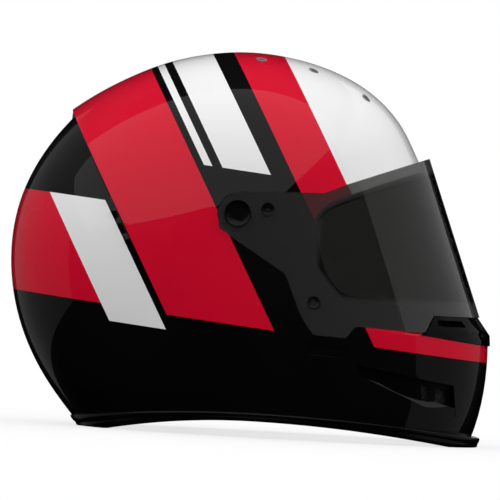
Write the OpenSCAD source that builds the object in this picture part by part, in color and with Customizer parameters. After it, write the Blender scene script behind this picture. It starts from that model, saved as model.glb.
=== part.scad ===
// Full face helmet with a hinged visor.
// The side view lies in the XZ plane, with the face toward +X and the wearer's left toward +Y.
// Side outlines are drawn about the visor pivot, which place() then lifts to its height.

/* [Shell] */
// Length of the helmet, from the chin lip to the back
helmet_l = 347; // [330:1:360]
// Width of the shell, at the visor pivots
shell_w = 248; // [240:2:260]
// Wall of the shell
shell_wall = 3; // [2.5:0.5:4]
// How square the shell's cross-section is, 2 being an ellipse
squareness = 2.25; // [2.1:0.05:2.5]
// Height of the step along the ridge at the back
ridge_step = 5; // [0:0.5:7]
// How far the chin lip stands out from the shell
lip_out = 7; // [2:0.5:9]

/* [Visor] */
// Wall of the visor
visor_wall = 2.2; // [1.8:0.1:3]
// Lean of the visor's front from the vertical
visor_tilt = 20.7; // [18:0.1:23]
// Distance from the pivot axis to the visor's front
visor_reach = 143.5; // [141:0.5:147]
// Gap between the shell and the visor's arms
arm_gap = 1.8; // [1.6:0.1:3]
// Radius of the bearing spigots that the visor turns on
spigot_r = 6.9; // [6:0.1:8]
// Running clearance of the visor round a spigot
spigot_gap = 0.3; // [0.15:0.05:0.4]
// Angle that the visor is raised by
visor_open = 0; // [0:1:52]

/* [Liner] */
// Thickness of the foam liner over the crown
foam_t = 26; // [22:1:30]
// Thickness of the comfort pad over the crown
crown_pad_t = 8; // [5:0.5:10]
// Thickness of the foam in the chin bar
chin_foam_t = 16; // [12:1:22]
// Depth of a cheek pad, from the shell to the cheek
cheek_pad_t = 48; // [40:1:54]

/* [Strap] */
// Width of the webbing
strap_w = 22; // [18:1:24]
// Thickness of the webbing
strap_t = 2.4; // [1.8:0.1:3]
// Radius of the wire of a strap ring
ring_wire_r = 1.9; // [1.5:0.1:2.4]

/* [Vents] */
// Radius of the hole of a crown vent
vent_hole_r = 2.4; // [1.5:0.1:2.8]
// Distance of the crown vents from the middle
vent_side = 46; // [38:1:52]

/* [Hidden] */

// The outlines are drawn for a helmet 347 long, and the strap's run for an inner face 121 out
k = helmet_l / 347;
half_w = shell_w / 2;
in_k = (half_w - shell_wall) / 121;
fit = 0.3;
soft_fit = 0.8;
seal_fit = 0.15;
far = 600;

// Facets round and across a form
fine = [60, 22];
medium = [48, 18];
soft = [40, 16];

// The visor pivot, above the middle of the footprint
pivot_x = -11.8 * k;
pivot_z = 157.7 * k;

// Radii of the side outline about the pivot, one every outline_step degrees, from dead ahead
// up over the crown, down the back and along under the open neck to the chin
outline_step = 15;
outline_r = [154, 134, 134.5, 130, 123, 118, 116.3, 116.5, 120.3, 126.5, 135, 145.5,
             157.8, 167, 175.3, 182.5, 190, 222, 252, 258, 252, 242, 213, 186];

// Ridge at the back, seen from the side
ridge_top = [-122, 70] * k;
ridge_foot = [-47, -74] * k;
ridge_reach = 60 * k;
ridge_len = norm(ridge_foot - ridge_top);
ridge_dir = (ridge_foot - ridge_top) / ridge_len;
ridge_ahead = [-ridge_dir[1], ridge_dir[0]];

// Lower edge: two parabolas that meet under the ears, for the shell and for the trim
edge_x = 15 * k;
edge_z = -140 * k;
edge_rise = [0.00067, 0.0004] / k;
foot_z = -146 * k;
foot_rise = [0.00117, 0.00056] / k;
floor_z = -pivot_z;
trim_grip = 4;
trim_skin = 1.6;
band_steps = [-220:10:230];
lip_angle = 319.5;
lip_spread = 5;

// Outlines about the pivot, seen from the side
eyeport_outline = [[215, 66], [132, 35], [81, 15.5], [67, 14.5], [57, -5], [57, -17], [68, -45],
                   [82, -55], [131, -56], [215, -53.5]] * k;
visor_outline = [[143, 55], [127, 44], [76, 24.5], [60, 17.5], [0, 15.5], [-13, 8], [-13, -11],
                 [0, -19], [36, -41], [49, -71], [58, -82.5], [81, -83.5], [87, -75],
                 [137, -77], [142.5, -64.6], [190, -64.6], [190, 55]] * k;
housing_outline = [[132, -78.5], [137.5, -77.5], [143, -65.4], [200, -65.4], [200, -87]] * k;
slot_outline = [[149, -68.3], [168, -70.6], [170, -73.4], [149, -72.2]] * k;
gill_outline = [[88, -101.5], [140, -110.5], [160, -113.5], [163, -136], [139, -129],
                [94, -110]] * k;
gill_slots = [[[136, -113.5], [143, -114.7], [143, -127.5], [138, -126]] * k,
              [[147, -115.4], [156, -117], [158, -132], [147, -128.5]] * k];
thumb_outline = [[53, -88.5], [55, -96.5], [80, -98], [82, -89.5]] * k;
cheek_outline = [[14, -24], [46, -22], [58, -50], [76, -63], [113, -66], [110, -136],
                 [60, -136], [14, -134]] * k;
crown_foam_outline = [[200, 95], [200, 72], [128, 44], [78, 25], [58, 24], [44, 8], [42, -16],
                      [10, -20], [4, -62], [-26, -64], [-44, -108], [-140, -118], [-240, -60],
                      [-200, 160], [120, 160]] * k;
neck_outline = [[-150, -142], [-100, -144], [-52, -139], [-46, -128], [-56, -113],
                [-150, -123]] * k;
chin_foam_outline = [[116, -67], [200, -67], [200, -144], [116, -140]] * k;
eyeport_round = 8;
panel_round = 1;
housing_round = 0.5;
slot_round = 0.4;
thumb_round = 2;
foam_round = 6;
cheek_round = 10;
neck_round = 5;

thumb_deep = 1.5;
visor_in_w = half_w + arm_gap;
visor_taper = 0.0004 / k;
visor_reach_k = visor_reach * k;
visor_top_t = 30 * k;
visor_foot_t = -140 * k;
visor_shadow = 2.5;
gasket_skin = 1.2;
gasket_grip = 5;
gasket_lip = 2.5;

// Pads, by their depth from the shell's outer face and their drawn-in crown
neck_pad_deep = 27;
pad_set_back = 5;
channel_w = 3;
channel_y = [-54, -18, 18, 54];
channel_z = -20;
cheek_mid = [60 * k, half_w - 14, -84 * k];
cheek_crown = [64 * k, cheek_pad_t - 8, 68 * k];
cheek_channel_x = [58, 92] * k;
cheek_channel_y = half_w - 50;
cheek_channel_lean = 25;

// Pivot parts, by their distance from the middle of the helmet
seat_y = half_w - 3;
base_t = 2.1;
cam_y = seat_y + base_t + fit;
cam_t = 0.8;
cam_ear_r = 4.4;
cap_y = visor_in_w + visor_wall + fit;
cap_t = 1.8;
cap_r = 9.4;
cap_gap = 0.8;
cam_hub_y = visor_in_w * (1 - visor_taper * cap_r) - 2 * fit;
base_r = 14;
screw_r = 2.5;
boss_r = 17;
boss_y = half_w - 6.5;
nut_room_r = boss_r + 3;
nut_room_y = half_w - 14;
nut_t = 3;
nut_r = 6;
head_r = 4.4;
head_t = 1;
key_r = 1.75;
plunger_at = [0, -10.6];
plunger_r = 1.1;
detent_step = 10.4;
stud_at = [21, 4] * k;
post_at = [57, -59.5] * k;
post_back = 0.6;
stud_r = 2;
stud_head_r = 4.7;
stud_head_t = 1.8;
stud_sink = 0.7;

// Vents: the chin's housing, screen and gills, and the grommets of the crown
housing_proud = 0.5;
housing_wall = 6;
mesh_t = 1;
mesh_gap = 2.4;
mesh_lap = 2.5;
mesh_x = [151:4:169];
mesh_z = -70 * k;
gill_deep = 3;
gill_wall = 3;
gill_flange = 3;
chin_gap = 8;
vent_angles = [84.5, 65, 45];
vent_lean = 16;
vent_duct_r = vent_hole_r + 1.5;
grommet_r = vent_hole_r + 0.7;
grommet_flange = 1;
grommet_t = 1;

// Strap ends inside the shell
strap_x = -9 * k;
anchor_at = [strap_x, -78 * k];
ring_at = [84 * in_k, -113 * k];
ring_gap = 4.6;
rivet_r = 2.4;
rivet_head_r = 4.4;
rivet_head_t = 1.4;
anchor_r = 8;
anchor_t = 2;
tab_l = 14;
long_run = route([[-113.8, -68], [-113.4, -84], [-110, -99], [-100, -114], [-78, -127],
                  [-44, -134], [-8, -136.5], [24, -135], [44, -129]]);
short_run = route([[113.8, -68], [113.4, -82], [110.5, -94], [103, -103], [93, -108.6],
                   [83, -109.4]]);
anchor_y = 112.4 * in_k - strap_t / 2 - fit;
rivet_tip_y = face_y(anchor_at) - shell_wall / 2;

// Guide points of a webbing, seen from the front, at this helmet's width and height
function route(points) = [for (p = points) [p[0] * in_k, p[1] * k]];

// Radius of the side outline at angle a: a smooth closed curve led by outline_r
function side_r(a) =
    let (n = len(outline_r), u = (a + 360) / outline_step, i = floor(u), f = u - i,
         r = [for (j = [-1:2]) outline_r[(i + j + n) % n]])
    k / 6 * (pow(1 - f, 3) * r[0] + (3 * pow(f, 3) - 6 * f * f + 4) * r[1]
             + (-3 * pow(f, 3) + 3 * f * f + 3 * f + 1) * r[2] + pow(f, 3) * r[3]);

// Rounding of the cross-section: c outward from the pivot axis, s along it
function round_c(b) = pow(cos(b), 2 / squareness);
function round_s(b) = sign(b) * pow(abs(sin(b)), 2 / squareness);

// Rise of the ridge at a place in the side view
function ridge_rise(p) =
    let (d = (p - ridge_top) * ridge_ahead, u = (p - ridge_top) * ridge_dir / ridge_len,
         near = max(0, 1 - max(0, d) / ridge_reach), along = max(0, min(u, 1)))
    ridge_step * near * near * (1 - along * along);

// Share of the side outline's radius that is left at a distance y from the middle
function side_part(y) = pow(1 - pow(y / half_w, squareness), 1 / squareness);

// Distance of the shell's outer face from the middle, at a place in the side view
function face_y(p) =
    half_w * pow(1 - pow(norm(p) / side_r(atan2(p[1], p[0])), squareness), 1 / squareness);

// Distance of the visor's outer face from the middle, at a place in the side view
function visor_face(p) =
    let (d = p[0] * cos(visor_tilt) + p[1] * sin(visor_tilt),
         t = p[1] * cos(visor_tilt) - p[0] * sin(visor_tilt))
    (visor_in_w + visor_wall) * (1 + visor_taper * t)
    * pow(1 - pow(d / visor_reach_k, squareness), 1 / squareness);

function lip_rise(a) = exp(-pow((a - lip_angle) / lip_spread, 2));

function form_point(a, b, grow, ridge, lip) =
    let (r = side_r(a) + grow + lip * lip_rise(a), w = half_w + grow,
         p = [r * round_c(b) * cos(a), w * round_s(b), r * round_c(b) * sin(a)])
    ridge ? p * (1 + ridge_rise([p[0], p[2]]) / norm(p)) : p;

function edge_line(x, z, rise) = z - (x < edge_x ? rise[0] : rise[1]) * pow(x - edge_x, 2);

// Rounded solid that every shell, liner and pad is a layer of
module form(grow = 0, ridge = false, lip = 0, facets = fine) {
    around = facets[0];
    across = facets[1];
    turn = 360 / around;
    points = concat(
        [for (j = [1:across - 1]) for (i = [0:around - 1])
            form_point(i * turn, -90 + 180 * j / across, grow, ridge, lip)],
        [[0, -half_w - grow, 0], [0, half_w + grow, 0]]);
    last = (across - 2) * around;
    faces = concat(
        [for (j = [0:across - 3]) for (i = [0:around - 1])
            let (a = j * around + i, b = j * around + (i + 1) % around)
            each [[a, b, b + around], [a, b + around, a + around]]],
        [for (i = [0:around - 1]) [last + around, (i + 1) % around, i]],
        [for (i = [0:around - 1]) [last + around + 1, last + i, last + (i + 1) % around]]);
    polyhedron(points, faces);
}

// What lies between two depths under the shell's outer face
module layer(near, deep, facets = soft) difference() {
    form(-near, facets = facets);
    form(-deep, facets = facets);
}

// Side outline as a solid right across the helmet
module across(outline, grow = 0, round = 3) {
    rotate([90, 0, 0])
        linear_extrude(height = far, center = true)
            offset(r = grow + round, $fn = 32) offset(delta = -round) polygon(outline);
}

module band(z_top, rise_top, z_foot, rise_foot) {
    rotate([90, 0, 0])
        linear_extrude(height = far, center = true)
            polygon(concat([for (x = band_steps) [x * k, edge_line(x * k, z_top, rise_top)]],
                           [for (x = band_steps) let (v = (10 - x) * k)
                               [v, max(floor_z, edge_line(v, z_foot, rise_foot))]]));
}

// All that lies under the shell's hidden lower edge
module under_edge() rotate([90, 0, 0]) linear_extrude(height = far, center = true)
    polygon(concat([for (x = band_steps) [x * k, edge_line(x * k, edge_z - trim_grip, edge_rise)]],
                   [[far, -far], [-far, -far]]));

module visor_block(grow) {
    foot = 1 + visor_taper * visor_foot_t;
    top = 1 + visor_taper * visor_top_t;
    profile = [for (b = [-90:4.5:90]) [(visor_reach_k + grow) * round_c(b),
                                       (visor_in_w + visor_wall + grow) * foot * round_s(b)]];
    side = profile[len(profile) - 1][1];
    rotate([0, -visor_tilt, 0])
        translate([0, 0, visor_foot_t])
            linear_extrude(height = visor_top_t - visor_foot_t, scale = [1, top / foot], slices = 1)
                polygon(concat([[-60 * k, -side]], profile, [[-60 * k, side]]));
}

// Hollow that the visor closes into
module visor_hollow(deep = 0) difference() {
    across(visor_outline, visor_shadow + deep);
    visor_block(-visor_wall - arm_gap - deep);
}

module place() translate([pivot_x, 0, pivot_z]) children();

module open_visor() rotate([0, -visor_open, 0]) children();

module side(s) if (s > 0) children(); else mirror([0, 1, 0]) children();

module both() for (s = [-1, 1]) side(s) children();

// Disc or rod that lies along Y, from y up to y + h
module rod(at, y, h, r, fn = 48) translate([at[0], y, at[1]]) rotate([-90, 0, 0])
    cylinder(h = h, r = r, $fn = fn);

// Cut that runs out from a distance y from the middle, or right through the side
module bore(at, r, y = half_w / 2) rod(at, y, half_w, r);

// The shell's form with the hollow for the visor, inset from the shell's outer face
module hollowed(inset, facets = medium) difference() {
    form(-inset, facets = facets);
    visor_hollow(inset);
}

// Side of the ridge's line that lies toward the face
module ridge_side() {
    up = ridge_top - ridge_dir * ridge_len;
    down = ridge_foot + ridge_dir * ridge_reach / 2;
    rotate([90, 0, 0])
        linear_extrude(height = far, center = true)
            polygon([up, up + ridge_ahead * ridge_reach, down + ridge_ahead * ridge_reach, down]);
}

module outer_shell() color("black") place() difference() {
    union() {
        hollowed(0, fine);
        intersection() {
            form(ridge = true);
            ridge_side();
        }
    }
    difference() {
        hollowed(shell_wall);
        both() rod([0, 0], boss_y, half_w - boss_y, boss_r, 32);
    }
    under_edge();
    across(eyeport_outline, 0, eyeport_round);
    across(housing_outline, 0, housing_round);
    across(gill_outline, 0, panel_round);
    both() {
        bore([0, 0], base_r + fit, seat_y);
        bore([0, 0], screw_r);
        rod(anchor_at, anchor_y, rivet_tip_y - anchor_y, rivet_r);
    }
    at_vents() vent_bore(grommet_r, 5 * shell_wall);
    // Recess for the thumb that lifts the visor
    difference() {
        across(thumb_outline, 0, thumb_round);
        form(-thumb_deep, facets = medium);
    }
}

// The places of the crown vents, with Z square to the shell and zero on it
module at_vents() both() for (a = vent_angles)
    rotate([0, -a, 0])
        translate([side_r(a) * side_part(vent_side), vent_side, 0])
            rotate([0, 0, vent_lean]) rotate([0, 90, 0]) children();

module vent_bore(r, deep) translate([0, 0, -deep]) cylinder(h = 2 * deep, r = r, $fn = 40);

module edge_trim() color("dimgray") place() difference() {
    intersection() {
        difference() {
            form(trim_skin, lip = lip_out - trim_skin);
            form(-shell_wall - trim_skin, facets = medium);
        }
        band(edge_z, edge_rise, foot_z, foot_rise);
    }
    difference() {
        form();
        form(-shell_wall, facets = medium);
        under_edge();
    }
}

module eyeport_gasket() color("dimgray") place() difference() {
    intersection() {
        difference() {
            hollowed(-gasket_skin);
            hollowed(shell_wall + gasket_skin);
        }
        across(eyeport_outline, gasket_grip, eyeport_round);
    }
    across(eyeport_outline, -gasket_lip, eyeport_round);
    difference() {
        hollowed(-seal_fit, fine);
        hollowed(shell_wall + seal_fit);
        across(eyeport_outline, -seal_fit, eyeport_round);
    }
    across(housing_outline, fit, housing_round);
}

// Stiff foam behind the pivots is hollowed for the nuts
module nut_room() both() rod([0, 0], nut_room_y, half_w - nut_room_y, nut_room_r, 32);

module crown_foam() color("darkslategray") place() difference() {
    intersection() {
        hollowed(shell_wall + soft_fit, soft);
        across(crown_foam_outline, 0, foam_round);
    }
    form(-shell_wall - foam_t, facets = soft);
    nut_room();
    at_vents() vent_bore(vent_duct_r, 2 * foam_t);
}

module chin_foam() color("darkslategray") place() intersection() {
    difference() {
        hollowed(chin_gap);
        form(-chin_gap - chin_foam_t, facets = soft);
    }
    across(chin_foam_outline, 0, foam_round);
}

module crown_pad() color("dimgray") place() difference() {
    intersection() {
        layer(shell_wall + foam_t + soft_fit, shell_wall + foam_t + crown_pad_t);
        across(crown_foam_outline, -pad_set_back, foam_round);
    }
    // Sewn channels from brow to nape
    intersection() {
        form(-shell_wall - foam_t - crown_pad_t / 2, facets = soft);
        union() {
            for (y = channel_y) translate([-far / 2, y - channel_w / 2, channel_z])
                cube([far, channel_w, far]);
        }
    }
}

module cheek_pad() difference() {
    intersection() {
        layer(shell_wall + soft_fit, shell_wall + cheek_pad_t);
        across(cheek_outline, 0, cheek_round);
        // The crown of the cushion, drawn in at its sides
        translate(cheek_mid) hull() scale(cheek_crown) sphere(r = 1, $fn = 32);
    }
    visor_hollow(shell_wall + soft_fit);
    difference() {
        across(gill_outline, gill_flange + soft_fit, panel_round);
        form(-gill_deep - gill_wall - soft_fit, facets = medium);
    }
    // Sewn channels down the cheek
    rotate([0, cheek_channel_lean, 0])
        for (x = cheek_channel_x) translate([x, 0, -far / 2])
            cube([channel_w, cheek_channel_y, far]);
}

module cheek_pad_right() color("dimgray") place() side(-1) cheek_pad();
module cheek_pad_left() color("dimgray") place() side(1) cheek_pad();

module neck_roll() color("dimgray") place() intersection() {
    layer(shell_wall + soft_fit, neck_pad_deep);
    across(neck_outline, 0, neck_round);
}

module chin_vent_housing() color([0.1, 0.1, 0.11]) place() difference() {
    form(housing_proud);
    form(-housing_wall, facets = medium);
    difference() {
        cube(far, center = true);
        across(housing_outline, -fit, housing_round);
    }
    across(slot_outline, 0, slot_round);
}

// Screen behind the slots of the chin vent
module chin_vent_mesh() color("gray") place() difference() {
    intersection() {
        form(-housing_wall - fit, facets = medium);
        across(slot_outline, mesh_lap, slot_round);
    }
    form(-housing_wall - fit - mesh_t, facets = medium);
    intersection() {
        across(slot_outline, 0, slot_round);
        for (x = mesh_x) translate([x * k, 0, mesh_z])
            cube([mesh_gap, far, shell_w / 8], center = true);
    }
}

// Panel that fills the gill from behind, with its slots
module chin_gill() difference() {
    union() {
        intersection() {
            layer(gill_deep, gill_deep + gill_wall, medium);
            across(gill_outline, -fit, panel_round);
        }
        intersection() {
            layer(shell_wall + fit, gill_deep + gill_wall, medium);
            across(gill_outline, gill_flange, panel_round);
        }
    }
    for (slot = gill_slots) across(slot, 0, panel_round);
    translate([-far / 2, -far, -far / 2]) cube(far);
}

module chin_gill_right() color([0.1, 0.1, 0.11]) place() side(-1) chin_gill();
module chin_gill_left() color([0.1, 0.1, 0.11]) place() side(1) chin_gill();

module vent_grommets() color("gray") place() at_vents() difference() {
    union() {
        translate([0, 0, -shell_wall - grommet_t])
            cylinder(h = shell_wall + 2 * grommet_t, r = grommet_r, $fn = 40);
        translate([0, 0, fit / 2])
            cylinder(h = grommet_t, r = grommet_r + grommet_flange, $fn = 40);
    }
    vent_bore(vent_hole_r, 5 * shell_wall);
}

module pivot_base() difference() {
    union() {
        rod([0, 0], seat_y, base_t, base_r);
        rod([0, 0], seat_y, cap_y - seat_y, spigot_r);
    }
    bore([0, 0], screw_r);
    bore(plunger_at, plunger_r);
}

module pivot_base_right() color("dimgray") place() side(-1) pivot_base();
module pivot_base_left() color("dimgray") place() side(1) pivot_base();

module pivot_cap() difference() {
    rod([0, 0], cap_y, cap_t, cap_r);
    bore([0, 0], screw_r);
    bore([0, 0], head_r, cap_y + cap_t - head_t);
}

module pivot_cap_right() color("black") place() side(-1) pivot_cap();
module pivot_cap_left() color("black") place() side(1) pivot_cap();

module pivot_screws() color("darkgray") place() both() difference() {
    union() {
        rod([0, 0], boss_y - nut_t, cap_y + cap_t - head_t - boss_y + nut_t, screw_r);
        rod([0, 0], cap_y + cap_t - head_t, head_t, head_r);
    }
    rod([0, 0], cap_y + cap_t - head_t / 2, head_t, key_r, 6);
}

module pivot_nuts() color("darkgray") place() both() difference() {
    rod([0, 0], boss_y - nut_t, nut_t, nut_r);
    bore([0, 0], screw_r);
}

module detent_plungers() color("silver") place() both()
    rod(plunger_at, seat_y, base_t, plunger_r);

module visor() color([0.12, 0.12, 0.13]) place() open_visor() difference() {
    intersection() {
        difference() {
            visor_block(0);
            visor_block(-visor_wall);
        }
        across(visor_outline);
    }
    both() {
        bore([0, 0], spigot_r + spigot_gap);
        bore([0, 0], cap_r + cap_gap, cap_y - fit);
        for (p = [stud_at, post_at]) {
            bore(p, stud_r);
            bore(p, stud_head_r, visor_face(p) - stud_sink);
        }
    }
}

// Ring on the inside of the visor, with the detent holes that the plunger clicks into
module visor_cam() difference() {
    union() {
        hull() {
            rod([0, 0], cam_y, cam_t, base_r - 1, 32);
            rod(stud_at, cam_y, cam_t, cam_ear_r, 32);
        }
        rod([0, 0], cam_y, cam_hub_y - cam_y, cap_r);
    }
    bore([0, 0], spigot_r + spigot_gap);
    bore(stud_at, stud_r);
    for (i = [0:5]) rotate([0, i * detent_step, 0]) bore(plunger_at, plunger_r);
}

module visor_cam_right() color("gray") place() open_visor() side(-1) visor_cam();
module visor_cam_left() color("gray") place() open_visor() side(1) visor_cam();

module stud(p, inner_y) {
    head_y = visor_face(p) - stud_sink;
    rod(p, inner_y, head_y - inner_y, stud_r);
    difference() {
        rod(p, head_y, stud_head_t, stud_head_r);
        bore(p, stud_r, head_y + stud_head_t / 2);
    }
}

module visor_studs() color("black") place() open_visor() both() stud(stud_at, cam_y);
module visor_posts() color("dimgray") place() open_visor() both()
    stud(post_at, visor_face(post_at) - visor_wall - post_back);

// Smooth run through a webbing's guide points, seen from the front
function run(path, steps = 5) =
    let (n = len(path), p = concat([2 * path[0] - path[1]], path, [2 * path[n - 1] - path[n - 2]]))
    [for (i = [1:n - 1]) for (s = [0:steps - 1]) let (f = s / steps)
        (pow(1 - f, 3) * p[i - 1] + (3 * pow(f, 3) - 6 * f * f + 4) * p[i]
         + (-3 * pow(f, 3) + 3 * f * f + 3 * f + 1) * p[i + 1] + pow(f, 3) * p[i + 2]) / 6];

function edge_of(line, off) =
    [for (i = [0:len(line) - 1])
        let (a = line[max(0, i - 1)], b = line[min(len(line) - 1, i + 1)], d = (b - a) / norm(b - a))
        line[i] + off * [-d[1], d[0]]];

module webbing(path, steps = 5) {
    line = concat(run(path, steps), [path[len(path) - 1]]);
    back = edge_of(line, -strap_t / 2);
    translate([strap_x - strap_w / 2, 0, 0])
        rotate([90, 0, 90])
            linear_extrude(height = strap_w)
                polygon(concat(edge_of(line, strap_t / 2),
                               [for (i = [len(back) - 1:-1:0]) back[i]]));
}

module strap_right() color("black") place() difference() {
    webbing(long_run);
    side(-1) bore(anchor_at, rivet_r);
}

module eyelet_outline(r) hull() for (i = [0, 1])
    translate(ring_at - [i * ring_gap, 0]) circle(r = r, $fn = 32);

module strap_left() color("black") place() difference() {
    union() {
        webbing(short_run);
        translate([strap_x - strap_w / 2, 0, 0]) rotate([90, 0, 90])
            linear_extrude(height = strap_w) eyelet_outline(ring_wire_r + fit + strap_t);
    }
    translate([strap_x - strap_w, 0, 0]) rotate([90, 0, 90])
        linear_extrude(height = 2 * strap_w) eyelet_outline(ring_wire_r + fit);
    bore(anchor_at, rivet_r);
}

module strap_anchors() color("silver") place() both() difference() {
    rod(anchor_at, anchor_y - anchor_t, anchor_t, anchor_r);
    bore(anchor_at, rivet_r);
}

module strap_rivets() color("silver") place() both() {
    rod(anchor_at, anchor_y - anchor_t, rivet_tip_y - anchor_y + anchor_t, rivet_r);
    rod(anchor_at, anchor_y - anchor_t - rivet_head_t, rivet_head_t, rivet_head_r);
}

// Stiff tab folded over the free end of the long strap
module strap_end_tab() color("crimson") place() {
    tip = long_run[len(long_run) - 1];
    translate([strap_x - strap_w / 2, tip[0] + fit, tip[1] - strap_t])
        cube([strap_w, tab_l, 2 * strap_t]);
}

// Wire ring of a D shape that hangs from its straight bar
module strap_ring(i) translate([strap_x, ring_at[0] - i * ring_gap, ring_at[1]]) {
    reach = norm([strap_w / 2 + ring_wire_r + fit, ring_wire_r + strap_t + 2 * fit]);
    rotate([90, 0, 0])
        rotate([0, 0, 180])
            rotate_extrude(angle = 180, $fn = 48)
                translate([reach, 0]) circle(r = ring_wire_r, $fn = 20);
    rotate([0, 90, 0]) cylinder(h = 2 * reach, r = ring_wire_r, center = true, $fn = 32);
    for (s = [-1, 1]) translate([s * reach, 0, 0]) sphere(r = ring_wire_r, $fn = 32);
}

module strap_ring_outer() color("silver") place() strap_ring(0);
module strap_ring_inner() color("silver") place() strap_ring(1);

outer_shell();
edge_trim();
eyeport_gasket();
crown_foam();
chin_foam();
crown_pad();
cheek_pad_right();
cheek_pad_left();
neck_roll();
chin_vent_housing();
chin_vent_mesh();
chin_gill_right();
chin_gill_left();
vent_grommets();
pivot_base_right();
pivot_base_left();
pivot_cap_right();
pivot_cap_left();
pivot_screws();
pivot_nuts();
detent_plungers();
visor();
visor_cam_right();
visor_cam_left();
visor_studs();
visor_posts();
strap_right();
strap_left();
strap_anchors();
strap_rivets();
strap_end_tab();
strap_ring_outer();
strap_ring_inner();
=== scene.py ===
# %% [markdown]
# A full face helmet with a smoke-tinted visor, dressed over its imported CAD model. The model brings
# the sizes, the places and the moving bodies; this script brings the smooth surfaces and the
# finishes. It is read from top to bottom: first the frame and the camera, then the hard parts from
# the outside in, then the soft parts, and last the materials, the light and the floor.

# %% Load the frame
import math

import bmesh
import bpy
import numpy as np
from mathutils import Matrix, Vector


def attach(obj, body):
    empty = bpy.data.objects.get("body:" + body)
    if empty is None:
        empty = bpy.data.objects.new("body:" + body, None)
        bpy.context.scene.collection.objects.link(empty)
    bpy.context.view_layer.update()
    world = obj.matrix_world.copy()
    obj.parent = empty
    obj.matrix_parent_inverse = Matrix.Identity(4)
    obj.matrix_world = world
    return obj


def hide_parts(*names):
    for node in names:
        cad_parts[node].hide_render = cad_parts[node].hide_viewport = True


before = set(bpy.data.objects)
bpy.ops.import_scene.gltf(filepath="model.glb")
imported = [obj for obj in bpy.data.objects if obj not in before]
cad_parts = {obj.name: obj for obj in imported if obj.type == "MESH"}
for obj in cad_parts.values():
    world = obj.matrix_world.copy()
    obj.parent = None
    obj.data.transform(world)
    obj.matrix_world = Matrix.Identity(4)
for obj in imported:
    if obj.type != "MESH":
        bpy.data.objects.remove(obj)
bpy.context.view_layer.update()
mm = 0.001

# %% [markdown]
# The camera comes early, because every later choice is judged through it. The photograph was taken
# from the wearer's right with a long lens, so near and far parts show at almost the same size. A
# 500 mm lens at 5 m does the same. The helmet was held about three degrees nose down, so the camera
# rolls by that much instead, and the helmet keeps standing level on its lower edge.

# %% The camera
VIEW_WIDTH, LENS, SENSOR, FARTHEST = 360 * mm, 500, 36, 50
VIEW_CENTRE = Vector((-1.7, 0, 132.3)) * mm
NOSE_DOWN = math.radians(3.23)

bpy.ops.object.camera_add()
camera = bpy.context.object
camera.data.lens, camera.data.sensor_width, camera.data.clip_end = LENS, SENSOR, FARTHEST
camera.location = VIEW_CENTRE + Vector((0, -VIEW_WIDTH * LENS / SENSOR, 0))
camera.rotation_euler = (math.radians(90), -NOSE_DOWN, 0)
bpy.context.scene.camera = camera
print("camera", round(-camera.location.y, 2), "m away")

# %% [markdown]
# Most of the helmet is made from a few moves, so they are written once. Everything is deselected
# before a new piece is added, because an operator works on all that is selected. A modifier is
# applied as soon as it is set, as when modelling by hand, and a cutter is thrown away once it has
# cut.

# %% Small workshop helpers
def deselect():
    if bpy.context.mode != "OBJECT":
        bpy.ops.object.mode_set(mode="OBJECT")
    bpy.ops.object.select_all(action="DESELECT")


def pick(piece):
    """Selects one piece alone."""
    deselect()
    piece.select_set(True)
    bpy.context.view_layer.objects.active = piece


def edit(piece, action="SELECT"):
    """Opens a piece in edit mode, with all or none of it selected."""
    pick(piece)
    bpy.ops.object.mode_set(mode="EDIT")
    bpy.ops.mesh.select_all(action=action)


def apply(piece, modifier):
    pick(piece)
    bpy.ops.object.modifier_apply(modifier=modifier.name)


def modify(piece, kind, **settings):
    """Gives a piece a modifier of the kind, with its settings, and applies it."""
    modifier = piece.modifiers.new(kind.lower(), kind)
    for name, value in settings.items():
        setattr(modifier, name, value)
    apply(piece, modifier)


def boolean(piece, other, how="DIFFERENCE"):
    modify(piece, "BOOLEAN", operation=how, object=other, solver="EXACT")
    bpy.data.objects.remove(other)


def settle(piece):
    """Moves the piece's place, turn and scale into its mesh, and turns its faces outward."""
    pick(piece)
    bpy.ops.object.transform_apply()
    edit(piece)
    bpy.ops.mesh.remove_doubles(threshold=0.01 * mm)
    bpy.ops.mesh.normals_make_consistent(inside=False)
    deselect()


def joined(first, *others):
    pick(first)
    for piece in others:
        piece.select_set(True)
    bpy.ops.object.join()
    return first


def mirror_twin(piece):
    """Adds the piece's mirror image on the wearer's other side."""
    twin = piece.copy()
    twin.data = piece.data.copy()
    bpy.context.collection.objects.link(twin)
    pick(twin)
    bpy.ops.transform.mirror(constraint_axis=(False, True, False), orient_type="GLOBAL",
                             center_override=(0, 0, 0))
    bpy.ops.object.transform_apply()
    settle(twin)
    return twin


def mirrored(piece):
    """Makes the piece and its mirror image one."""
    twin = mirror_twin(piece)
    settle(piece)
    return joined(piece, twin)


def finish(piece, name, body="helmet", replaced=(), sharp=30):
    """Names a piece and body, and rounds its shading up to the angle sharp."""
    piece.name = name
    pick(piece)
    bpy.ops.object.shade_smooth_by_angle(angle=math.radians(sharp))
    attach(piece, body)
    if replaced:
        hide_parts(*replaced)
    print(name, len(piece.data.polygons), "faces")


# %% [markdown]
# A few more moves shape a mesh that is open in edit mode: a slice along a plane, a push that draws
# out what is selected, and a choice of faces or edges by a test. Round rubber and metal parts start
# as a torus, a ring of rings: each of its small rings is led round one section.

# %% Helpers that shape a mesh
def slice_at(place, normal):
    bpy.ops.mesh.select_all(action="SELECT")
    bpy.ops.mesh.bisect(plane_co=place, plane_no=normal)


def extrude(*move):
    bpy.ops.mesh.extrude_region_move(TRANSFORM_OT_translate={"value": move})


def choose(piece, parts, test):
    """Selects the "faces" or "edges" of an open piece that pass the test, and no others."""
    mesh = bmesh.from_edit_mesh(piece.data)
    for part in getattr(mesh, parts):
        part.select = test(part)
    bmesh.update_edit_mesh(piece.data)


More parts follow.
